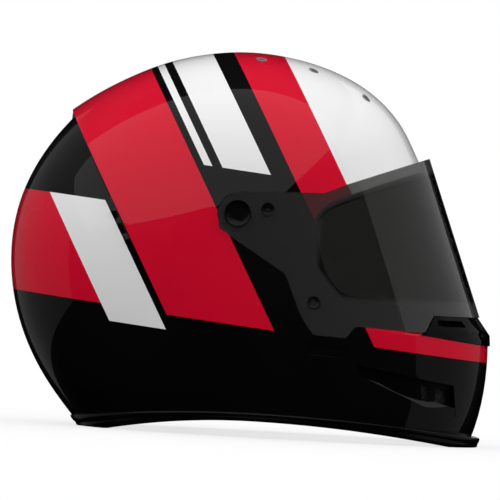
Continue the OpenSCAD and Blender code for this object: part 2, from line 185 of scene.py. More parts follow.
def led_ring(stations, section, place):
    """A torus whose small rings are its stations: place(station, *point) leads a section point."""
    deselect()
    bpy.ops.mesh.primitive_torus_add(major_segments=stations, minor_segments=len(section))
    ring = bpy.context.object
    for i in range(stations):
        for j, point in enumerate(section):
            ring.data.vertices[i * len(section) + j].co = place(i, *point)
    settle(ring)
    return ring


# %% [markdown]
# The shell, the liner and the trim are all layers of one rounded form. Seen from the side it is a
# smooth closed curve about the visor pivot; cut across, it is a little squarer than an ellipse. A
# ball with its poles at the ears is added and drawn out to that form point by point, because no
# modifier gives this curve. The same form, grown or shrunk by a few millimetres, then gives each
# layer.

# %% The helmet's form
PIVOT = Vector((-11.8, 0, 157.7)) * mm
HALF_W = 124 * mm
SQUARENESS = 2.25
OUTLINE_R = [154, 134, 134.5, 130, 123, 118, 116.3, 116.5, 120.3, 126.5, 135, 145.5,
             157.8, 167, 175.3, 182.5, 190, 222, 252, 258, 252, 242, 213, 186]
SHELL_WALL, FOAM_T, PAD_T = 3 * mm, 26 * mm, 8 * mm
LIP_ANGLE, LIP_SPREAD = 319.5, 5
BALL_CELLS, SHELL_CELLS, PAD_CELLS = (120, 54), (176, 80), (100, 44)


def lead(f, a, b, c, d):
    """Six times the point at a share f from b to c, on a smooth curve led by four points."""
    return ((1 - f) ** 3 * a + (3 * f ** 3 - 6 * f * f + 4) * b
            + (-3 * f ** 3 + 3 * f * f + 3 * f + 1) * c + f ** 3 * d)


def side_r(angle):
    """Radius of the side outline at an angle in degrees: a smooth curve led by OUTLINE_R."""
    u = (angle % 360) / 15
    i, f = int(u), u % 1
    return mm / 6 * lead(f, *[OUTLINE_R[(i + j) % len(OUTLINE_R)] for j in (-1, 0, 1, 2)])


def bulge(share):
    """Raises a sine or cosine to the power that squares the cross-section."""
    return math.copysign(abs(share) ** (2 / SQUARENESS), share)


def outside(p, grow=0.0, lip=0.0):
    """How far out of the form p is: 1 on it, and s ** SQUARENESS times as much when p grows s times
    as long."""
    angle = math.degrees(math.atan2(p.z, p.x)) % 360
    r = side_r(angle) + grow + lip * math.exp(-((angle - LIP_ANGLE) / LIP_SPREAD) ** 2)
    return (math.hypot(p.x, p.z) / r) ** SQUARENESS + (abs(p.y) / (HALF_W + grow)) ** SQUARENESS


def form_ball(grow=0.0, cells=BALL_CELLS):
    """Adds a ball and draws it out to the form, grown by grow."""
    deselect()
    bpy.ops.mesh.primitive_uv_sphere_add(segments=cells[0], ring_count=cells[1], radius=1,
                                         rotation=(math.radians(90), 0, 0))
    ball = bpy.context.object
    bpy.ops.object.transform_apply()
    for v in ball.data.vertices:
        angle = math.degrees(math.atan2(v.co.z, v.co.x))
        c = bulge(math.hypot(v.co.x, v.co.z)) * (side_r(angle) + grow)
        v.co = PIVOT + Vector((c * math.cos(math.radians(angle)), bulge(v.co.y) * (HALF_W + grow),
                               c * math.sin(math.radians(angle))))
    return ball


def layer(near, deep, cells=BALL_CELLS):
    """What lies between two depths under the form's face."""
    outer = form_ball(-near, cells)
    boolean(outer, form_ball(-deep, cells))
    return outer


def face_y(x, z):
    """Distance of the form's face from the middle, at a place in the side view in mm."""
    share = math.hypot(x, z) * mm / side_r(math.degrees(math.atan2(z, x)))
    return HALF_W * (1 - share ** SQUARENESS) ** (1 / SQUARENESS)


# %% [markdown]
# What is cut out of the form is drawn in the side view, as a jig is: an outline with rounded
# corners, filled and extruded right across the helmet. The outlines are written in millimetres
# about the visor pivot.

# %% Outlines and cutters
ACROSS = (-0.3, 0.3)
ARC_STEP = 12


def rounded(points, radius=0.0, grow=0.0):
    """The outline moved out by grow, with arcs of the given radius at its outward corners."""
    p = [Vector(q) * mm for q in points]
    area = sum(a.x * b.y - b.x * a.y for a, b in zip(p, p[1:] + p[:1]))
    if area < 0:
        p.reverse()
    result = []
    for i, q in enumerate(p):
        before, after = (q - p[i - 1]).normalized(), (p[(i + 1) % len(p)] - q).normalized()
        n1, n2 = Vector((before.y, -before.x)), Vector((after.y, -after.x))
        corner = (n1 + n2) / (1 + n1.dot(n2))
        if before.cross(after) < 0:
            result.append(q + corner * grow)
            continue
        turn = math.acos(max(-1, min(1, n1.dot(n2))))
        steps = max(1, math.ceil(math.degrees(turn) / ARC_STEP)) if radius + grow > 0 else 0
        for s in range(steps + 1):
            a = turn * s / max(1, steps)
            n = Vector((n1.x * math.cos(a) - n1.y * math.sin(a),
                        n1.x * math.sin(a) + n1.y * math.cos(a)))
            result.append(q - corner * radius + n * (radius + grow))
    return result


def plate(points):
    """Adds a filled circle with one point for each of the outline's, and leads them along it."""
    deselect()
    bpy.ops.mesh.primitive_circle_add(vertices=len(points), radius=1, fill_type="NGON")
    sheet = bpy.context.object
    for v, q in zip(sheet.data.vertices, points):
        v.co = q
    return sheet


def prism(outline, radius=0.0, grow=0.0, y=ACROSS):
    """The outline as a solid across the helmet, from y[0] to y[1]."""
    line = rounded(outline, radius * mm, grow * mm)
    block = plate([PIVOT + Vector((q.x, y[0], q.y)) for q in line])
    edit(block)
    extrude(0, y[1] - y[0], 0)
    settle(block)
    return block


def cut_layer(near, deep, outline, radius=0.0, grow=0.0, y=ACROSS, cells=BALL_CELLS):
    """What of a layer lies inside an outline."""
    piece = layer(near, deep, cells)
    boolean(piece, prism(outline, radius, grow, y), "INTERSECT")
    return piece


def rod(at, y, length, radius, sides=64):
    """Adds a disc or rod along Y on the wearer's right (y below zero) or left."""
    deselect()
    bpy.ops.mesh.primitive_cylinder_add(
        vertices=sides, radius=radius, depth=length, rotation=(math.radians(90), 0, 0),
        location=PIVOT + Vector((at[0] * mm, y + math.copysign(length / 2, y), at[1] * mm)))
    bpy.ops.object.transform_apply()
    return bpy.context.object


def bore_pivots(piece, deep, length, radius):
    """Bores both sides about the pivot, outward from a depth under the form's widest place."""
    for side in (-1, 1):
        boolean(piece, rod((0, 0), side * (HALF_W - deep), length, radius))


EYEPORT = [(215, 66), (132, 35.5), (100.4, 23.5), (83, 16.4), (72, 11.9), (64.5, 7.4), (60, 2.8),
           (57.3, -2.8), (56.6, -9), (57.6, -18.5), (60, -28), (62.5, -34.6), (65.4, -40.3),
           (68.8, -45.3), (73.4, -50), (78, -53.2), (84, -55.2), (95.7, -55.8), (131, -56),
           (215, -53.5)]
VISOR = [(143, 50.2), (127, 44), (76, 24.5), (60, 17.5), (0, 15.5), (-13, 8), (-13, -11), (0, -19),
         (36, -41), (49, -71), (58, -82.5), (81, -83.5), (87, -75), (137, -77), (142.5, -64.6),
         (190, -64.6), (190, 50.2)]
HOUSING = [(132, -78.5), (137.5, -77.5), (143, -65.4), (200, -65.4), (200, -87)]
GILL = [(88, -101.5), (140, -110.5), (160, -113.5), (163, -136), (139, -129), (94, -110)]

# %% [markdown]
# The visor is a curved sheet of polycarbonate, the same section all the way up a front that leans
# back by about twenty degrees. Its section is a line that can be walked along, from the middle of
# the front back to the arm, so a flat sheet can be bent on to it without stretching. The next
# helpers measure that walk and bend a flat point (along, up) at a depth in or out of the sheet.

# %% The visor's curve
LEAN = math.radians(20.7)
REACH = 143.5 * mm
VISOR_WALL, ARM_GAP = 2.2 * mm, 1.8 * mm
VISOR_W = HALF_W + ARM_GAP + VISOR_WALL
TAPER = 0.0004 / mm
HOLLOW_ROUND, HOLLOW_GAP = 3, 2.5
BLOCK_BACK, BLOCK_FOOT, BLOCK_TOP = -60 * mm, -140 * mm, 30 * mm

bend_angles = np.linspace(0, math.pi / 2, 2000)
bend_d = REACH * np.cos(bend_angles).clip(0) ** (2 / SQUARENESS)
bend_y = VISOR_W * np.sin(bend_angles) ** (2 / SQUARENESS)
bend_along = np.concatenate([[0], np.cumsum(np.hypot(np.diff(bend_d), np.diff(bend_y)))])
SIDE_ALONG = bend_along[-1]


def along_at(d):
    """How far along the sheet the distance d ahead of the pivot is."""
    return SIDE_ALONG - d if d < 0 else float(np.interp(-d, -bend_d, bend_along))


def bent(along, up, out=0.0):
    """The point of the curved sheet for a flat point, moved out by out."""
    a = abs(along)
    if a > SIDE_ALONG:
        d, y = SIDE_ALONG - a, VISOR_W + out
    else:
        b = float(np.interp(a, bend_along, bend_angles))
        d, y = bulge(math.cos(b)) * (REACH + out), bulge(math.sin(b)) * (VISOR_W + out)
    y = math.copysign(y, along) * (1 + TAPER * up)
    return Vector((d * math.cos(LEAN) - up * math.sin(LEAN), y,
                   d * math.sin(LEAN) + up * math.cos(LEAN)))


def leaned(q):
    """A place in the side view as (ahead, up) in the visor's leaning frame."""
    return (q.x * math.cos(LEAN) + q.y * math.sin(LEAN),
            q.y * math.cos(LEAN) - q.x * math.sin(LEAN))


def flat_outline(points, step=2 * mm):
    """Half an outline on the flat sheet, from its lower to its upper edge at the middle."""
    lean = [leaned(q) for q in points]
    fine = []
    for (d0, t0), (d1, t1) in zip(lean, lean[1:] + lean[:1]):
        n = max(1, math.ceil(math.hypot(d1 - d0, t1 - t0) / step))
        fine += [(d0 + (d1 - d0) * i / n, t0 + (t1 - t0) * i / n) for i in range(n)]
    half = []
    for (d0, t0), (d1, t1) in zip(fine, fine[1:] + fine[:1]):
        if d0 < REACH:
            half.append((along_at(d0), t0))
        if (d0 < REACH) != (d1 < REACH):
            f = (REACH - d0) / (d1 - d0)
            half.append((0.0, t0 + (t1 - t0) * f))
    ends = [i for i, q in enumerate(half) if q[0] == 0.0]
    first = next(i for i in ends if half[(i + 1) % len(half)][0] > 0)
    half = half[first:] + half[:first]
    return half if half[0][1] < half[-1][1] else half[::-1]


def leaned_block(line, lean, low, high, taper=0.0):
    """A block whose section is a line of points (ahead, sideways), leaning back by lean."""
    block = plate([Vector((q.x, q.y * (1 + taper * low), low)) for q in line])
    edit(block)
    extrude(0, 0, high - low)
    deselect()
    for v in block.data.vertices:
        x, z = v.co.x, v.co.z
        spread = (1 + taper * high) / (1 + taper * low) if z > low + mm else 1
        v.co = PIVOT + Vector((x * math.cos(lean) - z * math.sin(lean), v.co.y * spread,
                               x * math.sin(lean) + z * math.cos(lean)))
    settle(block)
    return block


def visor_block(out):
    """The solid inside the visor's curve, moved out by out."""
    line = [Vector((bulge(math.cos(a)) * (REACH + out), bulge(math.sin(a)) * (VISOR_W + out)))
            for a in np.radians(np.arange(-90, 90.1, 2.25))]
    ends = [Vector((BLOCK_BACK, q.y)) for q in (line[0], line[-1])]
    return leaned_block(ends[:1] + line + ends[1:], LEAN, BLOCK_FOOT, BLOCK_TOP, TAPER)


def visor_hollow(deep=0.0):
    """What the shell gives up so that the visor can close into it."""
    hollow = prism(VISOR, HOLLOW_ROUND, HOLLOW_GAP + deep / mm)
    boolean(hollow, visor_block(-VISOR_WALL - ARM_GAP - deep))
    return hollow


print("visor sheet", round(2 * SIDE_ALONG / mm), "mm round from pivot to pivot")

# %% [markdown]
# The shell has a step along a slanting ridge at the back. It could be sculpted, but a sharp,
# straight feature is cleaner when cut: the ball is sliced along the ridge, all that lies ahead of
# the slices is raised, and the strip between the slices becomes the wall of the step. Close slices
# on the raised side round its edge, so that it catches a line of light. A slice's new points lie on
# flat cells, so they are first drawn out to the form.

# %% The ridge
RIDGE_TOP, RIDGE_FOOT = Vector((-122, 70)) * mm, Vector((-47, -74)) * mm
RIDGE_STEP, RIDGE_REACH, RIDGE_ROUND = 5 * mm, 60 * mm, 1.6 * mm
RIDGE_SLICES = (0, 0.2, 0.6, 1.0, 1.6)
ridge_len = (RIDGE_FOOT - RIDGE_TOP).length
ridge_dir = (RIDGE_FOOT - RIDGE_TOP) / ridge_len
ridge_ahead = Vector((-ridge_dir.y, ridge_dir.x))


def ridge_rise(x, z):
    """How much the ridge raises a place in the side view, about the pivot."""
    from_top = Vector((x, z)) - RIDGE_TOP
    ahead, down = from_top.dot(ridge_ahead), from_top.dot(ridge_dir) / ridge_len
    if ahead <= 0.01 * mm:
        return 0.0
    near, down = max(0, 1 - ahead / RIDGE_REACH), max(0, min(down, 1))
    edge = max(0, 1 - ahead / RIDGE_ROUND)
    return RIDGE_STEP * (near ** 2 * (1 - down ** 2)) * (1 - 0.3 * edge ** 2)


def add_ridge(ball):
    edit(ball)
    for ahead in RIDGE_SLICES:
        place = RIDGE_TOP + ridge_ahead * ahead * mm
        slice_at(PIVOT + Vector((place.x, 0, place.y)), (ridge_ahead.x, 0, ridge_ahead.y))
    deselect()
    for v in ball.data.vertices:
        p = v.co - PIVOT
        p /= outside(p) ** (1 / SQUARENESS)
        v.co = PIVOT + p * (1 + ridge_rise(p.x, p.z) / p.length)


# %% [markdown]
# Three small vents on each side of the crown let warm air out. Each is bored square to the shell,
# and a wider duct goes on through the foam. A rod turned to the bore's own direction is the
# simplest cutter. Each bore is lined with a metal ring whose rim is rolled over the paint: a torus
# led along the rim's section.

# %% The crown vents
VENT_ANGLES, VENT_SIDE, VENT_LEAN = (84.5, 65, 45), 46 * mm, math.radians(16)
VENT_BORE_R, VENT_DUCT_R, VENT_DEEP = 3.1 * mm, 3.9 * mm, 40 * mm
# Section of a ring: distance from its middle, and height over the shell's face, in mm
RING_SECTION = [(2.75, -4.0), (2.75, -0.2), (2.8, 0.15), (2.95, 0.35), (3.25, 0.45), (3.6, 0.4),
                (3.9, 0.25), (4.1, 0.05), (3.05, 0.05), (3.05, -4.0)]
RING_STEPS = 48


def vent_places():
    """The middle of each vent on the form's face, and the turn that points Z square out of it."""
    inward = (1 - (VENT_SIDE / HALF_W) ** SQUARENESS) ** (1 / SQUARENESS)
    for angle in VENT_ANGLES:
        ahead = Vector((math.cos(math.radians(angle)), 0, math.sin(math.radians(angle))))
        for side in (-1, 1):
            sideways = Vector((0, side, 0))
            aim = ahead * math.cos(VENT_LEAN) + sideways * math.sin(VENT_LEAN)
            yield (PIVOT + ahead * side_r(angle) * inward + sideways * VENT_SIDE,
                   aim.to_track_quat("Z", "Y"))


def bore_vents(piece, radius):
    for place, turn in vent_places():
        deselect()
        bpy.ops.mesh.primitive_cylinder_add(vertices=40, radius=radius, depth=2 * VENT_DEEP,
                                            rotation=turn.to_euler(), location=place)
        boolean(piece, bpy.context.object)


def vent_ring(middle, turn):
    def place(station, r, height):
        a = 2 * math.pi * station / RING_STEPS
        return middle + turn @ Vector((r * math.cos(a), r * math.sin(a), height)) * mm
    return led_ring(RING_STEPS, RING_SECTION, place)


rings = joined(*[vent_ring(*spot) for spot in vent_places()])
finish(rings, "vent_rings", replaced=["vent_grommets"], sharp=50)

# %% [markdown]
# The shell is moulded in one piece, so one ball becomes all of it. The visor's hollow, the inner
# face, the eyeport, the gills and the lower edge are cut out. A bore about the pivot leaves the
# wall behind it thick, as a boss for the visor's pivot, and a second one sinks the seat. Under each
# gill a ledge slopes in: a wedge sliced along a tilted plane. Last, the shading is weighted by the
# size of the faces, which keeps a gloss surface even beside a cut.

# %% The outer shell
LIP_SINK, LIP_SLOPE = 0.3 * mm, math.radians(40)
EDGE_X, EDGE_Z, EDGE_RISE = 15, -140, (0.00067, 0.0004)
TRIM_GRIP = 4
# Bores about the pivot: depth under the form's widest place, length and radius
BOSS_BORE, SEAT_BORE = (6.5 * mm, 20 * mm, 17 * mm), (3 * mm, 20 * mm, 14.3 * mm)
EYEPORT_ROUND, HOUSING_ROUND, GILL_ROUND, THUMB_ROUND = 8, 0.5, 1, 2
THUMB_DEEP = 1.5 * mm
GILL_LIP = [(92, -110), (141, -124.2), (163, -130), (163, -137.4), (139, -130.4), (93.6, -111.2)]
GILL_LIP_LINE = [(94, -110.4), (139, -129.4)]
THUMB = [(53, -88.5), (55, -96.5), (80, -98), (82, -89.5)]


def edge_line(x, z=EDGE_Z, rise=EDGE_RISE):
    """Height of the lower edge at a distance x ahead of the pivot, in millimetres."""
    return z - (rise[0] if x < EDGE_X else rise[1]) * (x - EDGE_X) ** 2


def gill_ledge():
    """The sloping ledge under the gill on the wearer's right."""
    ledge = cut_layer(LIP_SINK, SHELL_WALL, GILL_LIP, y=(-0.3, 0))
    rear, front = (Vector((x * mm, -face_y(x, z) + LIP_SINK, z * mm)) for x, z in GILL_LIP_LINE)
    along = (front - rear).normalized()
    up = Vector((-along.z, 0, along.x)).normalized()
    inward = up * math.cos(LIP_SLOPE) + Vector((0, math.sin(LIP_SLOPE), 0))
    edit(ledge)
    bpy.ops.mesh.bisect(plane_co=PIVOT + rear, plane_no=along.cross(inward), use_fill=True,
                        clear_outer=True)
    deselect()
    return ledge


shell = form_ball(cells=SHELL_CELLS)
add_ridge(shell)
boolean(shell, visor_hollow())

inner = form_ball(-SHELL_WALL)
boolean(inner, visor_hollow(SHELL_WALL))
bore_pivots(inner, *BOSS_BORE)
boolean(shell, inner)

under = [(x, edge_line(x) - TRIM_GRIP) for x in range(-220, 231, 10)]
under += [(300, -300), (-300, -300)]
for outline, radius in ((under, 0), (EYEPORT, EYEPORT_ROUND), (HOUSING, HOUSING_ROUND),
                        (GILL, GILL_ROUND)):
    boolean(shell, prism(outline, radius))
bore_pivots(shell, *SEAT_BORE)
boolean(shell, mirrored(gill_ledge()), "UNION")

thumb = prism(THUMB, THUMB_ROUND)
boolean(thumb, form_ball(-THUMB_DEEP))
boolean(shell, thumb)
bore_vents(shell, VENT_BORE_R)
finish(shell, "painted_shell", replaced=["outer_shell"])
modify(shell, "WEIGHTED_NORMAL", keep_sharp=True)

# %% [markdown]
# The lower edge of the shell is covered by a rubber moulding that is pushed on all the way round,
# with a lip at the chin. A torus led along the edge is the right start. The section has a bead
# above, a groove, and a rounded foot.

# %% The edge trim
FOOT_Z, FOOT_RISE = -146, (0.00117, 0.00056)
TRIM_LIP = 5.4 * mm
STATIONS = 240
# Section of the rubber: out of the shell's face in mm, and down the trim as a share of its height
TRIM_SECTION = [(0.2, 0.0), (1.0, 0.02), (1.5, 0.10), (1.6, 0.30), (1.2, 0.40), (1.3, 0.50),
                (1.6, 0.60), (1.6, 0.86), (1.1, 0.97), (0.2, 1.0), (-2.8, 1.0), (-4.2, 0.95),
                (-4.6, 0.8), (-4.6, 0.3), (-4.2, 0.08), (-3.4, 0.0)]


def on_form(direction, height, grow, lip=0.0):
    """The place on the grown form, in a direction seen from above and at the height height(x)."""
    middle = Vector((20 * mm, 0, 0))
    near, far = 0.0, 0.4
    for _ in range(28):
        r = (near + far) / 2
        p = middle + Vector((direction.x * r, direction.y * r, 0))
        p.z = height(p.x)
        near, far = (r, far) if outside(p, grow, lip) < 1 else (near, r)
    return p


def trim_height(share):
    def height(x):
        top, foot = edge_line(x / mm), edge_line(x / mm, FOOT_Z, FOOT_RISE)
        return max((top + (foot - top) * share) * mm, -PIVOT.z)
    return height


def on_trim(station, out, share):
    turn = 2 * math.pi * station / STATIONS
    direction = Vector((math.cos(turn), math.sin(turn), 0))
    lip = TRIM_LIP if out > 0 else 0.0
    return PIVOT + on_form(direction, trim_height(share), out * mm, lip)


trim = led_ring(STATIONS, TRIM_SECTION, on_trim)
finish(trim, "edge_rubber", replaced=["edge_trim"], sharp=50)

# %% [markdown]
# The eyeport's seal is a rubber strip that grips the shell's edge. It follows the eyeport's outline
# on the same flat sheet as the visor, and is bent with it, so it stays at an even distance behind
# the visor. Where the shell lies further in than the sheet, the strip is drawn in to the shell.

# %% The eyeport seal
# Section of the seal: away from the opening, and out of the shell's face, in mm
SEAL_SECTION = [(2.4, 0.1), (2.2, 0.7), (1.6, 1.1), (-0.6, 1.2), (-1.3, 0.9), (-1.7, 0.0),
                (-1.7, -2.6), (-1.3, -3.8), (-0.4, -4.2), (3.6, -4.2), (4.6, -3.9), (5.0, -3.2),
                (5.0, -3.0), (0.2, -3.0), (0.2, -0.1), (2.4, -0.1)]


def shell_face(along, up, out):
    """A flat point bent to lie out from the shell's face, behind the visor."""
    p = bent(along, up, out - VISOR_WALL - ARM_GAP)
    ratio = outside(p, out)
    return p if ratio < 1 else p / ratio ** (1 / SQUARENESS)


def whole_loop(half):
    """Both halves of a flat outline, as one closed loop."""
    return np.array(half + [(-a, t) for a, t in half[-2:0:-1]])


def evenly(loop, count):
    """The closed loop again, as count evenly spaced points."""
    closed = np.vstack([loop, loop[:1]])
    walked = np.concatenate([[0], np.cumsum(np.hypot(*np.diff(closed, axis=0).T))])
    stops = np.linspace(0, walked[-1], count, endpoint=False)
    return np.column_stack([np.interp(stops, walked, closed[:, k]) for k in (0, 1)])


loop = evenly(whole_loop(flat_outline(rounded(EYEPORT, EYEPORT_ROUND * mm))), STATIONS)


def on_seal(station, away, out):
    along, up = loop[station]
    before, after = loop[station - 1], loop[(station + 1) % STATIONS]
    run = Vector((after[0] - before[0], after[1] - before[1])).normalized()
    return PIVOT + shell_face(along + run.y * away * mm, up - run.x * away * mm, out * mm)


seal = led_ring(STATIONS, SEAL_SECTION, on_seal)
finish(seal, "eyeport_seal", replaced=["eyeport_gasket"], sharp=50)

# %% [markdown]
# The visor is made the way its sheet is: cut out flat, then bent. The flat outline is filled,
# sliced into narrow strips so that it can bend smoothly, given its wall, and its edges are rounded
# while it is still flat, where a bevel is at its best. Bending is then one move for every point.
# Only the round holes for the pivot caps are bored last, since a boolean on the bent sheet leaves
# edges that are too ragged to round.

# %% The visor
SLICE, SLICE_START = 3.5 * mm, 0.4 * mm
VISOR_ROUND, RIM_ROUND = 3 * mm, 0.8 * mm
VISOR_BORE = (30 * mm, 60 * mm, 7.2 * mm)


def is_rim(edge):
    """Whether an edge of the flat sheet runs along its rim, on either face."""
    a, b = edge.verts
    return (len(edge.link_faces) == 2 and edge.calc_face_angle() > math.radians(60)
            and abs(a.co.y - b.co.y) < 0.1 * mm)


visor_loop = whole_loop(flat_outline(rounded(VISOR, VISOR_ROUND)))
visor = plate([Vector((a, 0, t)) for a, t in visor_loop])
edit(visor)
strips = math.floor(visor_loop[:, 0].max() / SLICE)
for i in range(-strips, strips + 1):
    slice_at((i * SLICE + SLICE_START, 0, 0), (1, 0, 0))
bpy.ops.mesh.select_all(action="SELECT")
bpy.ops.mesh.remove_doubles(threshold=0.15 * mm)
bpy.ops.mesh.select_all(action="SELECT")
extrude(0, -VISOR_WALL, 0)
deselect()
settle(visor)
edit(visor, "DESELECT")
choose(visor, "edges", is_rim)
bpy.ops.mesh.bevel(offset=RIM_ROUND, segments=3, clamp_overlap=False)
deselect()
for v in visor.data.vertices:
    v.co = PIVOT + bent(v.co.x, v.co.z, v.co.y)
settle(visor)
bore_pivots(visor, *VISOR_BORE)
finish(visor, "smoke_visor", "visor", ["visor"])

# %% [markdown]
# The front of the chin bar carries a black moulding with two slots that feed air to the face. It
# fills its place in the shell with a hair's gap and stands half a millimetre proud, so it is cut
# from a slightly larger form. A shallow crease runs under the slots. Its front is a nose that is
# planed off on both sides of the middle to a slanting face under the visor. The wall is thicker
# there, and a shelf reaches back from it under the seal, so that no light comes through. Behind the
# slots is a screen, which stays as the CAD made it.

# %% The chin vent housing
HOUSING_SLOT = [(145.5, -67.6), (163.1, -67.6), (166.8, -72), (146.5, -71.8)]
HOUSING_BEVEL = [(150, -40), (150, -78.4), (230, -78.4), (230, -40)]
HOUSING_FRONT = [(186.7, -78.3), (185.8, -86), (230, -86), (230, -78.3)]
HOUSING_CREASE = [(136, -77.4), (173, -75.2), (173, -75.9), (136, -78.1)]
HOUSING_NOSE = [(171.3, -65.7), (200, -65.7), (200, -85.6), (183.1, -84.7)]
HOUSING_SHELF = [(143.4, -64.9), (200, -64.9), (200, -66.8), (143.4, -66.8)]
SLOT_ROUND, HAIR_GAP = 0.4, 0.3
PROUD, NOSE_PROUD, CREASE_DEEP = 0.5 * mm, 1.8 * mm, 0.4 * mm
HOUSING_DEEP, NOSE_DEEP, SHELF_DEEP = 6 * mm, 7.8 * mm, 16 * mm
# The nose's two planes: how they lean, how far ahead they meet, how they fall back, and their size
NOSE_LEAN, NOSE_REACH, NOSE_BACK = math.radians(36.7), 102.8 * mm, 0.13
NOSE_W, NOSE_FOOT, NOSE_TOP = 110 * mm, -220 * mm, -120 * mm

housing = cut_layer(-PROUD, HOUSING_DEEP, HOUSING, HOUSING_ROUND, -HAIR_GAP)
boolean(housing, cut_layer(-NOSE_PROUD, NOSE_DEEP, HOUSING_NOSE), "UNION")
boolean(housing, cut_layer(-PROUD, SHELF_DEEP, HOUSING_SHELF), "UNION")
boolean(housing, prism(HOUSING_SLOT, SLOT_ROUND))
crease = prism(HOUSING_CREASE)
boolean(crease, form_ball(-CREASE_DEEP))
boolean(housing, crease)
nose_side = NOSE_REACH - NOSE_BACK * NOSE_W
nose_line = [Vector(q) for q in ((0, -NOSE_W), (nose_side, -NOSE_W), (NOSE_REACH, 0),
                                 (nose_side, NOSE_W), (0, NOSE_W))]
bevel = prism(HOUSING_BEVEL)
boolean(bevel, leaned_block(nose_line, NOSE_LEAN, NOSE_FOOT, NOSE_TOP))
boolean(housing, bevel)
boolean(housing, prism(HOUSING_FRONT))
finish(housing, "chin_housing", replaced=["chin_vent_housing"])

# %% [markdown]
# On each side of the chin a panel closes the gill from behind. It is set three millimetres deep, so
# the shell's edge throws a shadow over it, and a flange behind the shell holds it.

# %% The chin gills
GILL_SLOTS = [[(136, -113.5), (143, -114.7), (143, -127.5), (138, -126)],
              [(147, -115.4), (156, -117), (158, -132), (147, -128.5)]]
GILL_NEAR, FLANGE_NEAR, GILL_BACK, FLANGE_W = 3 * mm, 3.3 * mm, 6 * mm, 3

gills = cut_layer(GILL_NEAR, GILL_BACK, GILL, GILL_ROUND, -HAIR_GAP)
boolean(gills, cut_layer(FLANGE_NEAR, GILL_BACK, GILL, GILL_ROUND, FLANGE_W), "UNION")
for slot in GILL_SLOTS:
    boolean(gills, prism(slot, GILL_ROUND))
finish(gills, "chin_gills", replaced=["chin_gill_right", "chin_gill_left"])

# %% [markdown]
# The foam liner is moulded from beads, to the same form as the shell. It shows only as a rim round
# the padding, seen from below, so its shape is simple: a thick layer cut to its outline, hollowed
# behind the visor's pivots.

# %% The foam liner
CROWN = [(200, 95), (200, 72), (128, 44), (78, 25), (58, 24), (44, 8), (42, -16), (10, -20),
         (4, -62), (-26, -64), (-44, -108), (-140, -118), (-240, -60), (-200, 160), (120, 160)]
CHIN_FOAM = [(116, -67), (200, -67), (200, -144), (116, -140)]
CHIN_NEAR, CHIN_DEEP, FOAM_ROUND = 8 * mm, 24 * mm, 6
SOFT_GAP = 0.8 * mm
FOAM_BORE = (14 * mm, 14 * mm, 20 * mm)

crown_foam = cut_layer(SHELL_WALL + SOFT_GAP, SHELL_WALL + FOAM_T, CROWN, FOAM_ROUND)
boolean(crown_foam, visor_hollow(SHELL_WALL + SOFT_GAP))
bore_pivots(crown_foam, *FOAM_BORE)
bore_vents(crown_foam, VENT_DUCT_R)
finish(crown_foam, "crown_liner", replaced=["crown_foam"])

chin_foam = cut_layer(CHIN_NEAR, CHIN_DEEP, CHIN_FOAM, FOAM_ROUND)
boolean(chin_foam, visor_hollow(CHIN_NEAR))
finish(chin_foam, "chin_liner", replaced=["chin_foam"])

# %% [markdown]
# The visor turns on round parts that are all seen close up through it. The cap, the stud and the
# post are turned shapes: a disc whose face is inset and pushed in, and whose rim is bevelled, so
# that it draws a thin ring of light. They are modelled on the wearer's right and mirrored.

# %% Caps, studs and posts
CAP_Y, CAP_T, CAP_R = 128.3 * mm, 1.8 * mm, 9.4 * mm
CAP_WELL_DEEP, CAP_WELL_R, CAP_HOLE_R, CUTTER = 1.05 * mm, 4.45 * mm, 2.5 * mm, 5 * mm
STUD_AT, POST_AT = (21, 4), (57, -59.5)
STUD_R, STUD_T, SHANK_R = 4.7 * mm, 1.8 * mm, 2 * mm
DETENT_SINK, STUD_BACK, POST_GAP = 0.7 * mm, 123.4 * mm, 0.6 * mm


def visor_face(at):
    """Distance of the visor's outer face from the middle, at a place in the side view."""
    d, up = leaned(Vector(at) * mm)
    return VISOR_W * (1 + TAPER * up) * (1 - (abs(d) / REACH) ** SQUARENESS) ** (1 / SQUARENESS)


def turned_disc(at, back, thick, radius, rim, dish, hole=0.0):
    """A disc on the wearer's right with a bevelled rim, a dished face and a central hole."""
    disc = rod(at, -back, thick, radius, 72)
    edit(disc, "DESELECT")
    choose(disc, "faces", lambda face: face.normal.y < -0.9)
    bpy.ops.mesh.inset(thickness=rim)
    bpy.ops.mesh.inset(thickness=dish)
    bpy.ops.transform.translate(value=(0, dish, 0))
    if hole:
        bpy.ops.mesh.inset(thickness=radius - rim - dish - hole)
        extrude(0, thick * 0.5, 0)
    deselect()
    modify(disc, "BEVEL", width=0.4 * mm, segments=4, limit_method="ANGLE",
           angle_limit=math.radians(40))
    return disc


def visor_button(at, back, *turned):
    """A stud or post on both sides: a disc over the visor's face, and a shank that ends at back."""
    face = visor_face(at) - DETENT_SINK
    button = turned_disc(at, face, STUD_T, STUD_R, *turned)
    boolean(button, rod(at, -back, face - back, SHANK_R, 32), "UNION")
    return mirrored(button)


caps = turned_disc((0, 0), CAP_Y, CAP_T, CAP_R, 1.0 * mm, 0.3 * mm)
boolean(caps, rod((0, 0), -(CAP_Y + CAP_T - CAP_WELL_DEEP), CUTTER, CAP_WELL_R))
boolean(caps, rod((0, 0), -CAP_Y + 1 * mm, CUTTER, CAP_HOLE_R))
mirrored(caps)
finish(caps, "pivot_caps", replaced=["pivot_cap_right", "pivot_cap_left"], sharp=10)

stud = visor_button(STUD_AT, STUD_BACK, 0.8 * mm, 0.3 * mm, 1.2 * mm)
finish(stud, "visor_stud_heads", "visor", ["visor_studs"], sharp=10)

post_back = visor_face(POST_AT) - VISOR_WALL - POST_GAP
post = visor_button(POST_AT, post_back, 1.2 * mm, 0.4 * mm, 1.8 * mm)
finish(post, "visor_post_heads", "visor", ["visor_posts"], sharp=10)

